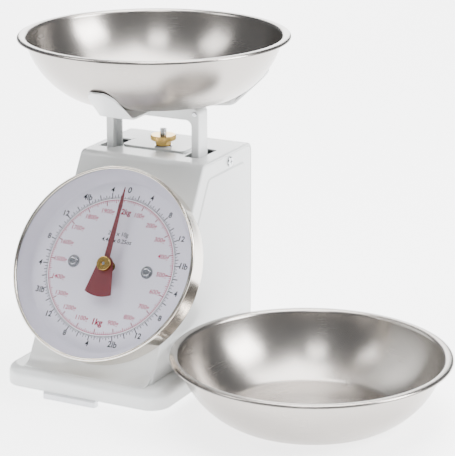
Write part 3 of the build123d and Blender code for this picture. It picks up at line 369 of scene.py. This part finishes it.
@dataclass(frozen=True)
class WorkedMetal:
    """A bare metal with fine work lines: spun, brushed or turned, seen as stretched soft reflections."""

    name: str
    colour: str
    roughness: float = 0.25
    stretch: float = 0.0
    lay: Lay = Lay.NONE
    line_mm: float = 0.5  # real lines are some 0.05 mm apart; drawn coarser, so that they show
    depth: float = 0.05
    vary: float = 0.05
    centre: Point = (0.0, 0.0, 0.0)

    def material(self) -> bpy.types.Material:
        """Build the finish.

        Returns:
            The material.
        """
        material, tree, shader = shader_tree(self.name)
        place = add_node(tree, "ShaderNodeTexCoord").outputs["Object"]
        centred = add_node(tree, "ShaderNodeMapping", {}, Vector=place,
                           Location=tuple(-c for c in self.centre)).outputs[0]
        split = add_node(tree, "ShaderNodeSeparateXYZ", {}, Vector=centred)
        if self.lay is Lay.ROUND_Z:
            flat = add_node(tree, "ShaderNodeCombineXYZ", {}, X=split.outputs["X"], Y=split.outputs["Y"])
            radius = add_node(tree, "ShaderNodeVectorMath", {"operation": "LENGTH"}, i0=flat.outputs[0])
            along = add_node(tree, "ShaderNodeVectorMath", {"operation": "SCALE"}, i0=centred, Scale=0.01)
            slow = add_node(tree, "ShaderNodeSeparateXYZ", {}, Vector=along.outputs[0])
            lines = add_node(tree, "ShaderNodeCombineXYZ", {}, X=radius.outputs["Value"], Y=split.outputs["Z"],
                             Z=slow.outputs["X"]).outputs[0]
        elif self.lay is Lay.ALONG_X:
            slow_x = add_node(tree, "ShaderNodeMath", {"operation": "MULTIPLY"}, i0=split.outputs["X"], i1=0.02)
            lines = add_node(tree, "ShaderNodeCombineXYZ", {}, X=slow_x.outputs[0], Y=split.outputs["Y"],
                             Z=split.outputs["Z"]).outputs[0]
        else:
            lines = centred
        grain = add_node(tree, "ShaderNodeTexNoise", {}, Vector=lines, Scale=1 / (self.line_mm * MM),
                         Detail=4.0, Roughness=0.65)
        smear = add_node(tree, "ShaderNodeTexNoise", {}, Vector=centred, Scale=22.0, Detail=3.0)
        mixed = add_node(tree, "ShaderNodeMath", {"operation": "ADD"},
                         i0=ramp(tree, grain.outputs["Fac"], -self.vary, self.vary),
                         i1=ramp(tree, smear.outputs["Fac"], self.roughness - 0.02, self.roughness + 0.03))
        bump = add_node(tree, "ShaderNodeBump", {}, Strength=self.depth, Distance=0.05 * MM,
                        Height=grain.outputs["Fac"])
        base = hex_linear(self.colour)
        dark = tuple(c * (1 - 2 * self.vary) for c in base[:3]) + (1.0,)
        tint = add_node(tree, "ShaderNodeMix", {"data_type": "RGBA"}, Factor=ramp(tree, grain.outputs["Fac"], 0, 1),
                        i6=dark, i7=base)
        tree.links.new(tint.outputs[2], shader.inputs["Base Color"])
        tree.links.new(mixed.outputs[0], shader.inputs["Roughness"])
        tree.links.new(bump.outputs["Normal"], shader.inputs["Normal"])
        shader.inputs["Metallic"].default_value = 1.0
        if self.stretch:
            # a quarter turn from the rings, so that the highlights fan out from the middle
            tangent = add_node(tree, "ShaderNodeTangent", {"direction_type": "RADIAL", "axis": "Z"})
            tree.links.new(tangent.outputs[0], shader.inputs["Tangent"])
            shader.inputs["Anisotropic"].default_value = self.stretch
            shader.inputs["Anisotropic Rotation"].default_value = 0.25
        return material


@dataclass(frozen=True)
class Enamel:
    """Printed or sprayed enamel: an even satin colour with a slight mottle."""

    name: str
    colour: str
    mottle: str
    roughness: float = 0.4
    coat: float = 0.0

    def material(self) -> bpy.types.Material:
        """Build the finish.

        Returns:
            The material.
        """
        material, tree, shader = shader_tree(self.name)
        place = add_node(tree, "ShaderNodeTexCoord").outputs["Object"]
        cloud = add_node(tree, "ShaderNodeTexNoise", {}, Vector=place, Scale=60.0, Detail=4.0)
        fine = add_node(tree, "ShaderNodeTexNoise", {}, Vector=place, Scale=1500.0, Detail=2.0)
        tint = add_node(tree, "ShaderNodeMix", {"data_type": "RGBA"}, Factor=ramp(tree, cloud.outputs["Fac"], 0, 1),
                        i6=hex_linear(self.colour), i7=hex_linear(self.mottle))
        bump = add_node(tree, "ShaderNodeBump", {}, Strength=0.05, Distance=0.05 * MM, Height=fine.outputs["Fac"])
        tree.links.new(tint.outputs[2], shader.inputs["Base Color"])
        tree.links.new(ramp(tree, fine.outputs["Fac"], self.roughness - 0.05, self.roughness + 0.05),
                       shader.inputs["Roughness"])
        tree.links.new(bump.outputs["Normal"], shader.inputs["Normal"])
        shader.inputs["Coat Weight"].default_value = self.coat
        return material


@dataclass(frozen=True)
class ClearLens:
    """Thin clear acrylic: see-through, with a faint sheen that grows towards its edge."""

    name: str = "clear_acrylic"

    def material(self) -> bpy.types.Material:
        """Build the finish.

        Returns:
            The material.
        """
        material, tree, shader = shader_tree(self.name)
        tree.nodes.remove(shader)
        clear = add_node(tree, "ShaderNodeBsdfTransparent", {}, Color=hex_linear("FDFDFE"))
        gloss = add_node(tree, "ShaderNodeBsdfGlossy", {}, Roughness=0.03)
        edge = add_node(tree, "ShaderNodeFresnel", {}, IOR=1.15)
        both = add_node(tree, "ShaderNodeMixShader", {}, i0=edge.outputs[0], i1=clear.outputs[0],
                        i2=gloss.outputs[0])
        tree.links.new(both.outputs[0], tree.nodes["Material Output"].inputs["Surface"])
        return material


BOWL_LOW, BOWL_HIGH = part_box("weighing_bowl")
SPARE_LOW, SPARE_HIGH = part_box("spare_bowl")
BOWL_CENTRE = ((BOWL_LOW.x + BOWL_HIGH.x) / 2, (BOWL_LOW.y + BOWL_HIGH.y) / 2, BOWL_LOW.z)
SPARE_CENTRE = ((SPARE_LOW.x + SPARE_HIGH.x) / 2, (SPARE_LOW.y + SPARE_HIGH.y) / 2, SPARE_LOW.z)


class Finishes:
    """All the materials of the scale, made once."""

    def __init__(self) -> None:
        """Build every material."""
        # powder coat: the calm satin white of the case, the bracket and the carrier
        self.white = PowderCoat().material()
        # moulded nylon: a colder and slightly brighter white than the case
        self.foot = Enamel("moulded_white_nylon", "E9EAEE", "E2E3E8", 0.45).material()
        # moulded rubber: flat grey with no highlight
        self.rubber = Enamel("moulded_grey_rubber", "B9B9B5", "A9A9A5", 0.8).material()
        bowl = dict(colour="A6A19C", roughness=0.26, stretch=0.75, lay=Lay.ROUND_Z, depth=0.006, vary=0.015)
        # spun and brushed stainless steel: fine rings that fan the reflections out from the middle
        self.bowl = WorkedMetal("spun_stainless", centre=BOWL_CENTRE, **bowl).material()
        self.spare = WorkedMetal("spun_stainless_spare", centre=SPARE_CENTRE, **bowl).material()
        # polished stainless steel: near mirror, so it takes on the colour of what is beside it
        self.polished = WorkedMetal("polished_stainless", "DCD5CB", 0.17, line_mm=1.2, depth=0.01).material()
        # zinc plated sheet: dull blue grey with the faint lines of rolling
        self.zinc = WorkedMetal("zinc_plated_steel", "B7BABD", 0.38, lay=Lay.ALONG_X, line_mm=0.6).material()
        # bright zinc: small cold glints on screws and rivets
        self.bright = WorkedMetal("bright_zinc_fastener", "CDCFD2", 0.22, line_mm=0.8).material()
        # turned brass: warm yellow, with a fine grain that breaks up its highlight
        self.brass = WorkedMetal("turned_brass", "D9B56A", 0.2, line_mm=0.4, depth=0.08).material()
        # drawn spring wire: darker steel with a narrow highlight along each turn
        self.wire = WorkedMetal("drawn_spring_wire", "8E9094", 0.3, line_mm=0.3).material()
        # enamels: the dial's even white, with a thin gloss over it, and the pointer's deep red
        self.face = Enamel("dial_enamel", "F8F6FF", "F4F2FD", 0.45, 0.1).material()
        self.red = Enamel("sprayed_red_enamel", "7E3A3E", "75343A", 0.42, 0.1).material()
        # printing inks: flat, with no gloss of their own
        self.black_ink = Enamel("black_dial_ink", "1B1B22", "24242C", 0.6).material()
        self.red_ink = Enamel("red_dial_ink", "C0305A", "B82A54", 0.6).material()
        self.deep_red_ink = Enamel("deep_red_dial_ink", "9C1038", "960C34", 0.6).material()
        self.white_ink = Enamel("white_dial_ink", "FBFAFD", "F5F4FA", 0.5).material()
        # clear acrylic: hardly seen, but for a glint
        self.lens = ClearLens().material()


# ------------------------------------------------------------------ bowls
@dataclass
class Bowl:
    """A spun steel bowl with a flat bottom, a round wall and a flat lip; sizes in millimetres."""

    node: str
    body: str
    centre: Point
    rim: float = 115.0
    flat: float = 68.7
    wall: float = 108.4
    height: float = 51.0
    sheet: float = 0.8

    def outline(self) -> Profile:
        """Draw the section of the bowl.

        Returns:
            The closed profile of its sheet.
        """
        top = self.height - self.sheet
        path = [(0.0, 0.0), (self.flat * 0.5, 0.0), (self.flat - 6.0, 0.0), (self.flat - 3.0, 0.0)]
        path += arc(path[-1], (self.flat + 1.2, 0.58), (self.flat + 5.0, 2.3), 6)
        path += arc(path[-1], (self.flat + 24.6, 18.6), (self.wall - 0.4, top - 2.4), 26)
        path += arc(path[-1], (self.wall + 0.45, top - 0.68), (self.wall + 2.0, top), 6)
        path += [(self.rim - 4.0, top), (self.rim - 2.2, top)]
        path += arc(path[-1], (self.rim - 1.15, top - 0.45), (self.rim - self.sheet, top - 1.5), 4)
        return thicken(path, self.sheet * 0.98)

    def build(self, material: bpy.types.Material) -> None:
        """Make the bowl and let it stand for its CAD node.

        Args:
            material: its steel.
        """
        seat = Seat(Vector(self.centre), Vector((1, 0, 0)), Vector((0, 1, 0)), Vector((0, 0, 1)))
        piece = lathe(f"{self.node}_steel", self.outline(), seat, material, 256)
        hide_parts(self.node)
        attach(piece, self.body)


# ------------------------------------------------------------------ dial
def dial_seat() -> Seat:
    """Find the dial's frame from the pointer's joint.

    Returns:
        The frame: out is towards the reader, and right is along X.
    """
    joint = next(j for j in frame["joints"] if j["name"] == "pointer_turn")
    out = -Vector(joint["axis"]).normalized()
    right = Vector((1, 0, 0))
    return Seat(Vector(joint["pos_m"]), right, out.cross(right).normalized(), out)


@dataclass
class TickRing:
    """Evenly spaced printed marks round the dial, made by Geometry Nodes; sizes in millimetres."""

    count: int
    inner: float
    outer: float
    width: float
    skip: int = 0
    span_deg: float = 360.0
    thick: float = 0.03

    def tree(self, material: bpy.types.Material) -> bpy.types.NodeTree:
        """Build the node tree of the marks.

        Args:
            material: the ink.

        Returns:
            The tree, with named inputs for its sizes.
        """
        tree = bpy.data.node_groups.new("dial_marks", "GeometryNodeTree")
        tree.interface.new_socket("Geometry", in_out="OUTPUT", socket_type="NodeSocketGeometry")
        for name, kind in (("Count", "Int"), ("Span", "Float"), ("Inner", "Float"), ("Length", "Float"),
                           ("Width", "Float"), ("Thick", "Float"), ("Skip", "Int")):
            tree.interface.new_socket(name, in_out="INPUT", socket_type=f"NodeSocket{kind}")
        given = tree.nodes.new("NodeGroupInput").outputs
        block_size = add_node(tree, "ShaderNodeCombineXYZ", {}, X=given["Width"], Y=given["Length"],
                              Z=given["Thick"])
        block = add_node(tree, "GeometryNodeMeshCube", {}, Size=block_size.outputs[0])
        half = add_node(tree, "ShaderNodeMath", {"operation": "MULTIPLY"}, i0=given["Length"], i1=0.5)
        middle = add_node(tree, "ShaderNodeMath", {"operation": "ADD"}, i0=half.outputs[0], i1=given["Inner"])
        shift = add_node(tree, "ShaderNodeCombineXYZ", {}, Y=middle.outputs[0])
        moved = add_node(tree, "GeometryNodeTransform", {}, Geometry=block.outputs["Mesh"],
                         Translation=shift.outputs[0])
        points = add_node(tree, "GeometryNodeMeshLine", {}, Count=given["Count"], Offset=(0.0, 0.0, 0.0))
        index = add_node(tree, "GeometryNodeInputIndex").outputs[0]
        step = add_node(tree, "ShaderNodeMath", {"operation": "DIVIDE"}, i0=given["Span"], i1=given["Count"])
        angle = add_node(tree, "ShaderNodeMath", {"operation": "MULTIPLY"}, i0=index, i1=step.outputs[0])
        turn = add_node(tree, "ShaderNodeCombineXYZ", {}, Z=angle.outputs[0])
        rest = add_node(tree, "ShaderNodeMath", {"operation": "MODULO"}, i0=index, i1=given["Skip"])
        left_out = add_node(tree, "ShaderNodeMath", {"operation": "COMPARE"}, i0=rest.outputs[0], i1=0.0, i2=0.1)
        wanted = add_node(tree, "ShaderNodeMath", {"operation": "SUBTRACT"}, i0=1.0, i1=left_out.outputs[0])
        marks = add_node(tree, "GeometryNodeInstanceOnPoints", {}, Points=points.outputs[0],
                         Selection=wanted.outputs[0], Instance=moved.outputs[0], Rotation=turn.outputs[0])
        real = add_node(tree, "GeometryNodeRealizeInstances", {}, Geometry=marks.outputs[0])
        inked = add_node(tree, "GeometryNodeSetMaterial", {}, Geometry=real.outputs[0], Material=material)
        add_node(tree, "NodeGroupOutput", {}, Geometry=inked.outputs[0])
        return tree

    def mesh(self, material: bpy.types.Material) -> bpy.types.Mesh:
        """Make the marks.

        Args:
            material: the ink.

        Returns:
            A plain mesh, flat in the dial's own plane, in metres.
        """
        holder = put("marks", bpy.data.meshes.new("marks"))
        holder.data.materials.append(material)
        modifier = holder.modifiers.new("marks", "NODES")
        modifier.node_group = self.tree(material)
        sizes = {"Count": self.count, "Span": -math.radians(self.span_deg), "Inner": self.inner * MM,
                 "Length": (self.outer - self.inner) * MM, "Width": self.width * MM, "Thick": self.thick * MM,
                 "Skip": self.skip or self.count + 1}
        for item in modifier.node_group.interface.items_tree:
            if item.in_out == "INPUT":
                modifier[item.identifier] = sizes[item.name]
        return settle(holder)


@dataclass
class Print:
    """Everything printed in one ink, gathered in the dial's plane and then laid on it."""

    name: str
    material: bpy.types.Material
    meshes: list[bpy.types.Mesh] = field(default_factory=list)
    ink_mm: float = 0.012  # half the thickness of the ink

    def words(self, text: str, x: float, y: float, height: float, bold: float = 0.0, lean: float = 0.0) -> None:
        """Print one line of text with its middle at x, y.

        Args:
            text: what to print.
            x: millimetres to the right of the dial's middle.
            y: millimetres above it.
            height: height of a figure in millimetres.
            bold: extra stroke width in millimetres.
            lean: slant of the letters.
        """
        curve = bpy.data.curves.new("print", "FONT")
        curve.body = text
        curve.size = height * MM / 0.7  # a figure is 0.7 of the font's size
        curve.align_x, curve.align_y = "CENTER", "CENTER"
        curve.extrude = self.ink_mm * MM
        curve.offset = bold * MM
        curve.shear = lean
        curve.resolution_u = 4
        mesh = settle(put("print", curve))
        mesh.transform(Matrix.Translation((x * MM, y * MM, 0)))
        self.meshes.append(mesh)

    def circle(self, radius: float, width: float, steps: int = 240) -> None:
        """Print a thin ring.

        Args:
            radius: middle radius in millimetres.
            width: width of the line in millimetres.
            steps: pieces round the ring.
        """
        inner, outer, thick = radius - width / 2, radius + width / 2, self.ink_mm
        vertices, faces = [], []
        for i in range(steps):
            angle = 2 * math.pi * i / steps
            for r, h in ((inner, -thick), (outer, -thick), (outer, thick), (inner, thick)):
                vertices.append((r * MM * math.cos(angle), r * MM * math.sin(angle), h * MM))
        for i in range(steps):
            here, there = 4 * i, 4 * ((i + 1) % steps)
            faces += [(here + k, there + k, there + (k + 1) % 4, here + (k + 1) % 4) for k in range(4)]
        mesh = bpy.data.meshes.new("ring")
        mesh.from_pydata(vertices, [], faces)
        self.meshes.append(mesh)

    def lay(self, seat: Seat, height: float) -> bpy.types.Object:
        """Join what was printed and lay it on the dial.

        Args:
            seat: the dial's frame.
            height: millimetres above the front panel.

        Returns:
            The piece.
        """
        gathered = bmesh.new()
        for mesh in self.meshes:
            gathered.from_mesh(mesh)
            bpy.data.meshes.remove(mesh)
        mesh = bpy.data.meshes.new(self.name)
        gathered.to_mesh(mesh)
        gathered.free()
        mesh.transform(seat.matrix() @ Matrix.Translation((0, 0, height * MM)))
        mesh.materials.clear()
        mesh.materials.append(self.material)
        for face in mesh.polygons:
            face.material_index = 0
        piece = put(self.name, mesh)
        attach(piece, "case")
        log.info("printed %s, %d faces", self.name, len(mesh.polygons))
        return piece


@dataclass
class Dial:
    """Dial housing, bezel, lens, printed pan and its print; sizes in millimetres along the dial's axis."""

    finishes: Finishes
    seat: Seat = field(default_factory=dial_seat)
    can_radius: float = 82.3
    can_depth: float = 21.4
    can_sheet: float = 0.8
    bezel_radius: float = 83.2
    bezel_inner: float = 80.4
    bezel_front: float = 23.3
    face_height: float = 7.44
    face_sheet: float = 0.6
    ring: float = 58.28

    def housing(self) -> None:
        """Polished can and rolled bezel."""
        r, d, s = self.can_radius, self.can_depth, self.can_sheet
        can = [(6.6, 0.05), (40.0, 0.05), (r - 3.0, 0.05)]
        can += arc(can[-1], (r - 0.88, 0.93), (r, 3.05), 8)
        can += [(r, d * 0.5), (r, d - 0.2), (r - 0.2, d), (r - s, d), (r - s, 3.05)]
        can += arc(can[-1], (r - 1.45, 1.5), (r - 3.0, 0.85), 6)
        can += [(40.0, 0.85), (6.6, 0.85)]
        piece = lathe("dial_can_shell", can, self.seat, self.finishes.polished, 256)
        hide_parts("dial_can")
        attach(piece, "case")
        # two soft beads side by side, rolled over the can's edge
        front, outer, inner = self.bezel_front, self.bezel_radius, self.bezel_inner
        bezel = [(outer - 0.85, front - 3.6), (outer - 0.35, front - 3.5), (outer, front - 3.1)]
        bezel += [(outer, front - 1.5)]
        bezel += arc(bezel[-1], (outer - 0.4, front - 0.45), (outer - 1.35, front - 0.05), 6)
        bezel += arc(bezel[-1], (outer - 1.65, front - 0.3), (inner + 0.95, front - 0.05), 4)
        bezel += arc(bezel[-1], (inner + 0.25, front - 0.3), (inner, front - 0.85), 5)
        bezel += [(outer - 0.85, front - 0.9)]
        piece = lathe("bezel_roll", bezel, self.seat, self.finishes.polished, 256)
        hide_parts("bezel_ring")
        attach(piece, "case")

    def pan(self) -> None:
        """White printed pan with a sloping rim."""
        low = self.face_height - self.face_sheet
        path = [(4.6, low), (30.0, low), (60.0, low), (71.9, low)]
        path += arc(path[-1], (74.0, low + 0.75), (74.8, low + 2.4), 8)
        path += [(77.5, low + 7.4), (81.1, low + 13.3)]
        piece = lathe("dial_pan", thicken(path, self.face_sheet), self.seat, self.finishes.face, 224)
        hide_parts("dial_plate")
        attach(piece, "case")

    def at_angle(self, grams: float, radius: float) -> tuple[float, float]:
        """Find the place on the dial for a reading.

        Args:
            grams: the reading.
            radius: millimetres from the dial's middle.

        Returns:
            Millimetres to the right of the middle and above it.
        """
        angle = 2 * math.pi * grams / DIAL_GRAMS
        return radius * math.sin(angle), radius * math.cos(angle)

    def print_scales(self) -> None:
        """Red gram scale inside the ring line and black ounce scale outside it."""
        ink = self.finishes
        ounce_span = 360 * 70.5 * OUNCE_GRAMS / DIAL_GRAMS  # the ounce scale ends at 70.5 ounces
        even_span = ounce_span * 70 / 70.5
        fine = Print("gram_marks", ink.red_ink)
        fine.meshes.append(TickRing(200, 55.9, 57.9, 0.5, 5).mesh(ink.red_ink))
        fine.meshes.append(TickRing(40, 54.9, 57.9, 0.6, 2).mesh(ink.red_ink))
        fine.circle(57.6, 0.5)
        for grams in range(100, DIAL_GRAMS, 100):
            if grams != 1000:
                x, y = self.at_angle(grams, 48.6)
                fine.words(f"{grams}g", x, y, 3.7, 0.07, 0.12)
        fine.lay(self.seat, self.face_height + 0.03)
        deep = Print("hundred_gram_marks", ink.deep_red_ink)
        deep.meshes.append(TickRing(20, 53.4, 57.9, 0.8).mesh(ink.deep_red_ink))
        deep.words("1kg", *self.at_angle(1000, 47.6), 5.2, 0.22, 0.1)
        deep.words("2kg", *self.at_angle(15, 47.6), 4.6, 0.18, 0.1)
        deep.lay(self.seat, self.face_height + 0.035)
        black = Print("ounce_marks", ink.black_ink)
        black.meshes.append(TickRing(282, 59.2, 60.6, 0.4, 2, ounce_span).mesh(ink.black_ink))
        black.meshes.append(TickRing(141, 59.2, 61.6, 0.5, 2, ounce_span).mesh(ink.black_ink))
        black.meshes.append(TickRing(70, 59.2, 62.4, 0.6, 2, even_span).mesh(ink.black_ink))
        black.meshes.append(TickRing(35, 59.2, 64.0, 0.8, 0, even_span).mesh(ink.black_ink))
        black.circle(59.2, 0.3)
        black.words("0", *self.at_angle(4, 66.6), 5.0, 0.14, 0.1)
        for ounces in range(4, 71, 4):
            pounds, rest = divmod(ounces, POUND_OUNCES)
            label, height = (str(rest), 4.5) if rest else (f"{pounds}lb", 5.0)
            black.words(label, *self.at_angle(ounces * OUNCE_GRAMS, 66.7), height, 0.14, 0.1)
        black.words("2kg x 10g", 0.0, 28.5, 3.5, 0.05, 0.1)
        black.words("4.4lb x 0.25oz", 0.0, 22.4, 3.5, 0.05, 0.1)
        black.lay(self.seat, self.face_height + 0.04)
        line = Print("ring_line", ink.white_ink)
        line.circle(self.ring + 0.25, 0.95)
        line.lay(self.seat, self.face_height + 0.03)

    def lens(self) -> None:
        """Clear lens behind the bezel."""
        flat = [(0.0, 21.2), (50.0, 21.2), (81.2, 21.2), (81.35, 21.4), (81.35, 22.2), (81.2, 22.35), (50.0, 22.35),
                (0.0, 22.35)]
        piece = lathe("clear_lens", flat, self.seat, self.finishes.lens, 192)
        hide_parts("dial_lens")
        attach(piece, "case")

    def build(self) -> None:
        """Make the whole dial."""
        self.housing()
        self.pan()
        self.print_scales()
        self.lens()
        dress("pointer_blade", self.finishes.red)
        for node in ("pointer_cap", "pointer_boss", "front_bush", "rear_bush", "drive_pinion", "rack"):
            dress(node, self.finishes.brass)
        for node in ("dial_screws", "dial_washers", "dial_posts", "pointer_shaft"):
            dress(node, self.finishes.bright)


# ------------------------------------------------------------------ case, bracket and inner parts
@dataclass
class Case:
    """Sheet metal case and base."""

    finishes: Finishes

    def build(self) -> None:
        """Dress the case's nodes."""
        for node in ("base_tray", "case_wrap", "left_side_panel", "right_side_panel"):
            dress(node, self.finishes.white)
        dress("front_foot_pad", self.finishes.foot)
        dress("rubber_feet", self.finishes.rubber)
        for node in ("foot_screws", "side_screws", "base_screws"):
            dress(node, self.finishes.bright)


@dataclass
class Mechanism:
    """Load bracket, carrier, check links, springs and zero adjustment."""

    finishes: Finishes
    stud_radius: float = 3.0
    thread_pitch: float = 1.0
    thread_depth: float = 0.5
    head_radius: float = 5.0
    coil_turns: int = 30
    turn_steps: int = 20
    coil_radius: float = 5.2
    eye_radius: float = 4.0
    wire_radius: float = 0.75
    hook_length: float = 9.6

    def stud(self) -> None:
        """Threaded stud with its hexagon head under the hanger."""
        low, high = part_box("zero_stud")
        head_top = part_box("spring_hanger")[0].z - 0.05 * MM
        x, y = 0.0, (low.y + high.y) / 2
        steps, rows = 40, int((high.z - head_top) / (self.thread_pitch * MM / 8))
        vertices, faces = [], []
        for row in range(rows + 1):
            for step in range(steps):
                angle = 2 * math.pi * step / steps
                z = head_top + (high.z - head_top) * row / rows
                phase = (z / (self.thread_pitch * MM) - step / steps) % 1.0
                groove = self.thread_depth * (1 - abs(2 * phase - 1)) * 1.3
                lead = max(0.0, 1.0 - (high.z - z) / (0.8 * MM)) * 0.6
                r = (self.stud_radius - min(groove, self.thread_depth) - lead) * MM
                vertices.append((x + r * math.cos(angle), y + r * math.sin(angle), z))
        for row in range(rows):
            for step in range(steps):
                here, there = row * steps + step, row * steps + (step + 1) % steps
                faces.append((here, there, there + steps, here + steps))
        faces.append(tuple(range(rows * steps, rows * steps + steps)))
        faces.append(tuple(reversed(range(steps))))
        base = len(vertices)
        for z in (low.z, head_top):
            vertices += [(x + self.head_radius * MM * math.cos(math.pi / 3 * k),
                          y + self.head_radius * MM * math.sin(math.pi / 3 * k), z) for k in range(6)]
        faces += [(base + k, base + (k + 1) % 6, base + 6 + (k + 1) % 6, base + 6 + k) for k in range(6)]
        faces += [tuple(base + k for k in range(5, -1, -1)), tuple(base + 6 + k for k in range(6))]
        piece = mesh_piece("zero_stud_thread", vertices, faces, self.finishes.bright)
        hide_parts("zero_stud")
        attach(piece, "spring_hanger")

    def wire(self, name: str, node: str, path: list[Vector]) -> bpy.types.Object:
        """Sweep a round steel wire along a path.

        Args:
            name: the piece's name.
            node: the CAD node that it stands for.
            path: the points along the middle of the wire, in metres.

        Returns:
            The piece, which stands for the node and isn't on a body.
        """
        curve = bpy.data.curves.new(name, "CURVE")
        curve.dimensions = "3D"
        curve.bevel_depth = self.wire_radius * MM
        curve.bevel_resolution = 1
        curve.use_fill_caps = True
        spline = curve.splines.new("POLY")
        spline.points.add(len(path) - 1)
        for point, place in zip(spline.points, path):
            point.co = (*place, 1.0)
        mesh = settle(put(name, curve))
        mesh.materials.append(self.finishes.wire)
        mesh.shade_smooth()
        piece = put(name, mesh)
        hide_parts(node)
        log.info("wound %s", name)
        return piece

    def spring(self, node: str) -> None:
        """Extension spring with hooked ends, stretched between the hanger and the load carriage.

        The coil is made in two pieces: the upper third with the top hook, and the lower part with the bottom hook.

        Args:
            node: the CAD node that it stands for.
        """
        low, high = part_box(node)
        x, y = (low.x + high.x) / 2, (low.y + high.y) / 2
        coil_low, coil_high = low.z + self.hook_length * MM, high.z - self.hook_length * MM
        eye, radius, steps = self.eye_radius * MM, self.coil_radius * MM, self.coil_turns * self.turn_steps
        inset = 0.8 * MM
        hook_low, hook_high, coil = [], [], []
        for k in range(15):
            angle = math.radians(-60 + 300 * k / 14)
            hook_low.append(Vector((x, y + eye * math.sin(angle), low.z + eye + inset - eye * math.cos(angle))))
        for k in range(steps + 1):
            angle = 2 * math.pi * k / self.turn_steps
            z = coil_low + (coil_high - coil_low) * k / steps
            coil.append(Vector((x + radius * math.cos(angle), y + radius * math.sin(angle), z)))
        for k in range(15):
            angle = math.radians(240 - 300 * k / 14)
            hook_high.append(Vector((x, y + eye * math.sin(angle), high.z - eye - inset + eye * math.cos(angle))))
        split = 2 * steps // 3
        upper = self.wire(f"{node}_upper", node, coil[split:] + hook_high)
        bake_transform(upper)
        lower = self.wire(f"{node}_lower", node, hook_low + coil[:split + 1])
        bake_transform(lower)

    def build(self) -> None:
        """Dress and make the mechanism."""
        for node in ("load_bracket", "bowl_carrier"):
            dress(node, self.finishes.white)
        for node in ("left_cheek_plate", "right_cheek_plate", "upper_check_link", "lower_check_link",
                     "movement_plate", "movement_bridge", "spring_crossbar", "rack_arm", "spring_hanger"):
            dress(node, self.finishes.zinc)
        for node in ("link_spacers", "upper_link_shaft", "lower_link_shaft", "shaft_clips", "zero_washer",
                     "bracket_rivets", "link_pins", "crossbar_rivets", "rack_rivets", "carrier_rivets"):
            dress(node, self.finishes.bright)
        dress("zero_nut", self.finishes.brass)
        self.stud()
        self.spring("left_spring")
        self.spring("right_spring")


# ------------------------------------------------------------------ stage, lights and camera
@dataclass
class Studio:
    """Pale floor that glows as a painted light, soft lights and the camera."""

    camera_at: Point = (0.81644, -1.44138, 0.6237)
    yaw: float = math.radians(26.95)
    pitch: float = math.radians(16.81)
    lens: float = 160.7
    target: Point = (0.05, 0.0, 0.12)  # what the lights face, between the scale and its second bowl

    def floor(self) -> None:
        """Pale floor under the scale, with painted light: it glows behind and under the scale and fades out in
        front.
        """
        material, tree, shader = shader_tree("glowing_paper_floor")
        grain = add_node(tree, "ShaderNodeTexNoise", {}, Scale=400.0)
        tree.links.new(ramp(tree, grain.outputs["Fac"], 0.85, 0.95), shader.inputs["Roughness"])
        shader.inputs["Base Color"].default_value = hex_linear("FCFCFC")
        shader.inputs["Emission Color"].default_value = hex_linear("FFFFFF")
        # painted light: the floor glows behind and under the scale and dies away in front, which keeps the steel's
        # outside calm
        place = add_node(tree, "ShaderNodeTexCoord").outputs["Object"]
        depth = add_node(tree, "ShaderNodeVectorMath", {"operation": "DOT_PRODUCT"}, i0=place,
                         i1=(-math.sin(self.yaw), math.cos(self.yaw), 0.0)).outputs["Value"]
        glow = add_node(tree, "ShaderNodeMapRange", {"interpolation_type": "SMOOTHSTEP"}, Value=depth,
                        From_Min=-0.75, From_Max=-0.22, To_Min=0.15, To_Max=2.9)
        tree.links.new(glow.outputs[0], shader.inputs["Emission Strength"])
        size, below = 6.0, -0.0002
        floor = mesh_piece("floor", [(-size, -size, below), (size, -size, below), (size, size, below),
                                     (-size, size, below)], [(0, 1, 2, 3)], material, smooth=False)

    def soft_box(self, name: str, place: Point, size: float, power: float) -> None:
        """Add a square area light that faces the scale.

        Args:
            name: name of the light.
            place: where it hangs, in metres.
            size: side in metres.
            power: watts.
        """
        light = bpy.data.lights.new(name, "AREA")
        light.shape, light.size, light.energy = "SQUARE", size, power
        lamp = put(name, light)
        lamp.location = place
        lamp.rotation_mode = "QUATERNION"
        lamp.rotation_quaternion = (Vector(self.target) - Vector(place)).to_track_quat("-Z", "Y")

    def sky(self) -> None:
        """Dim and slightly blue surround, which leaves the steel its soft dark bands."""
        world = bpy.data.worlds.new("studio")
        bpy.context.scene.world = world
        world.use_nodes = True
        tree = world.node_tree
        back = tree.nodes["Background"]
        back.inputs["Color"].default_value = hex_linear("E9EDF2")
        back.inputs["Strength"].default_value = 0.3

    def camera(self) -> None:
        """Camera at the product's three-quarter view."""
        data = bpy.data.cameras.new("camera")
        data.lens = self.lens
        data.clip_end = 50.0
        camera = put("camera", data)
        camera.location = self.camera_at
        ahead = Vector((-math.sin(self.yaw) * math.cos(self.pitch), math.cos(self.yaw) * math.cos(self.pitch),
                        -math.sin(self.pitch)))
        camera.rotation_mode = "QUATERNION"
        camera.rotation_quaternion = ahead.to_track_quat("-Z", "Y")
        bpy.context.scene.camera = camera

    def build(self) -> None:
        """Set the stage."""
        self.floor()
        self.sky()
        self.soft_box("left_light", (-1.25, -0.95, 1.85), 0.8, 17.0)
        self.soft_box("right_light", (1.75, 0.35, 1.3), 0.9, 70.0)
        self.soft_box("front_light", (0.45, -1.0, 2.0), 0.45, 9.0)
        self.soft_box("back_light", (-0.9, 1.9, 0.85), 1.1, 26.0)
        self.soft_box("top_light", (0.1, 0.5, 2.3), 1.8, 120.0)
        self.camera()


def main() -> None:
    """Build everything in order."""
    finishes = Finishes()
    Case(finishes).build()
    Mechanism(finishes).build()
    Dial(finishes).build()
    Bowl("weighing_bowl", "bowl", BOWL_CENTRE).build(finishes.bowl)
    Bowl("spare_bowl", "second_bowl", SPARE_CENTRE).build(finishes.spare)
    Studio().build()


if __name__ == "__main__":
    main()
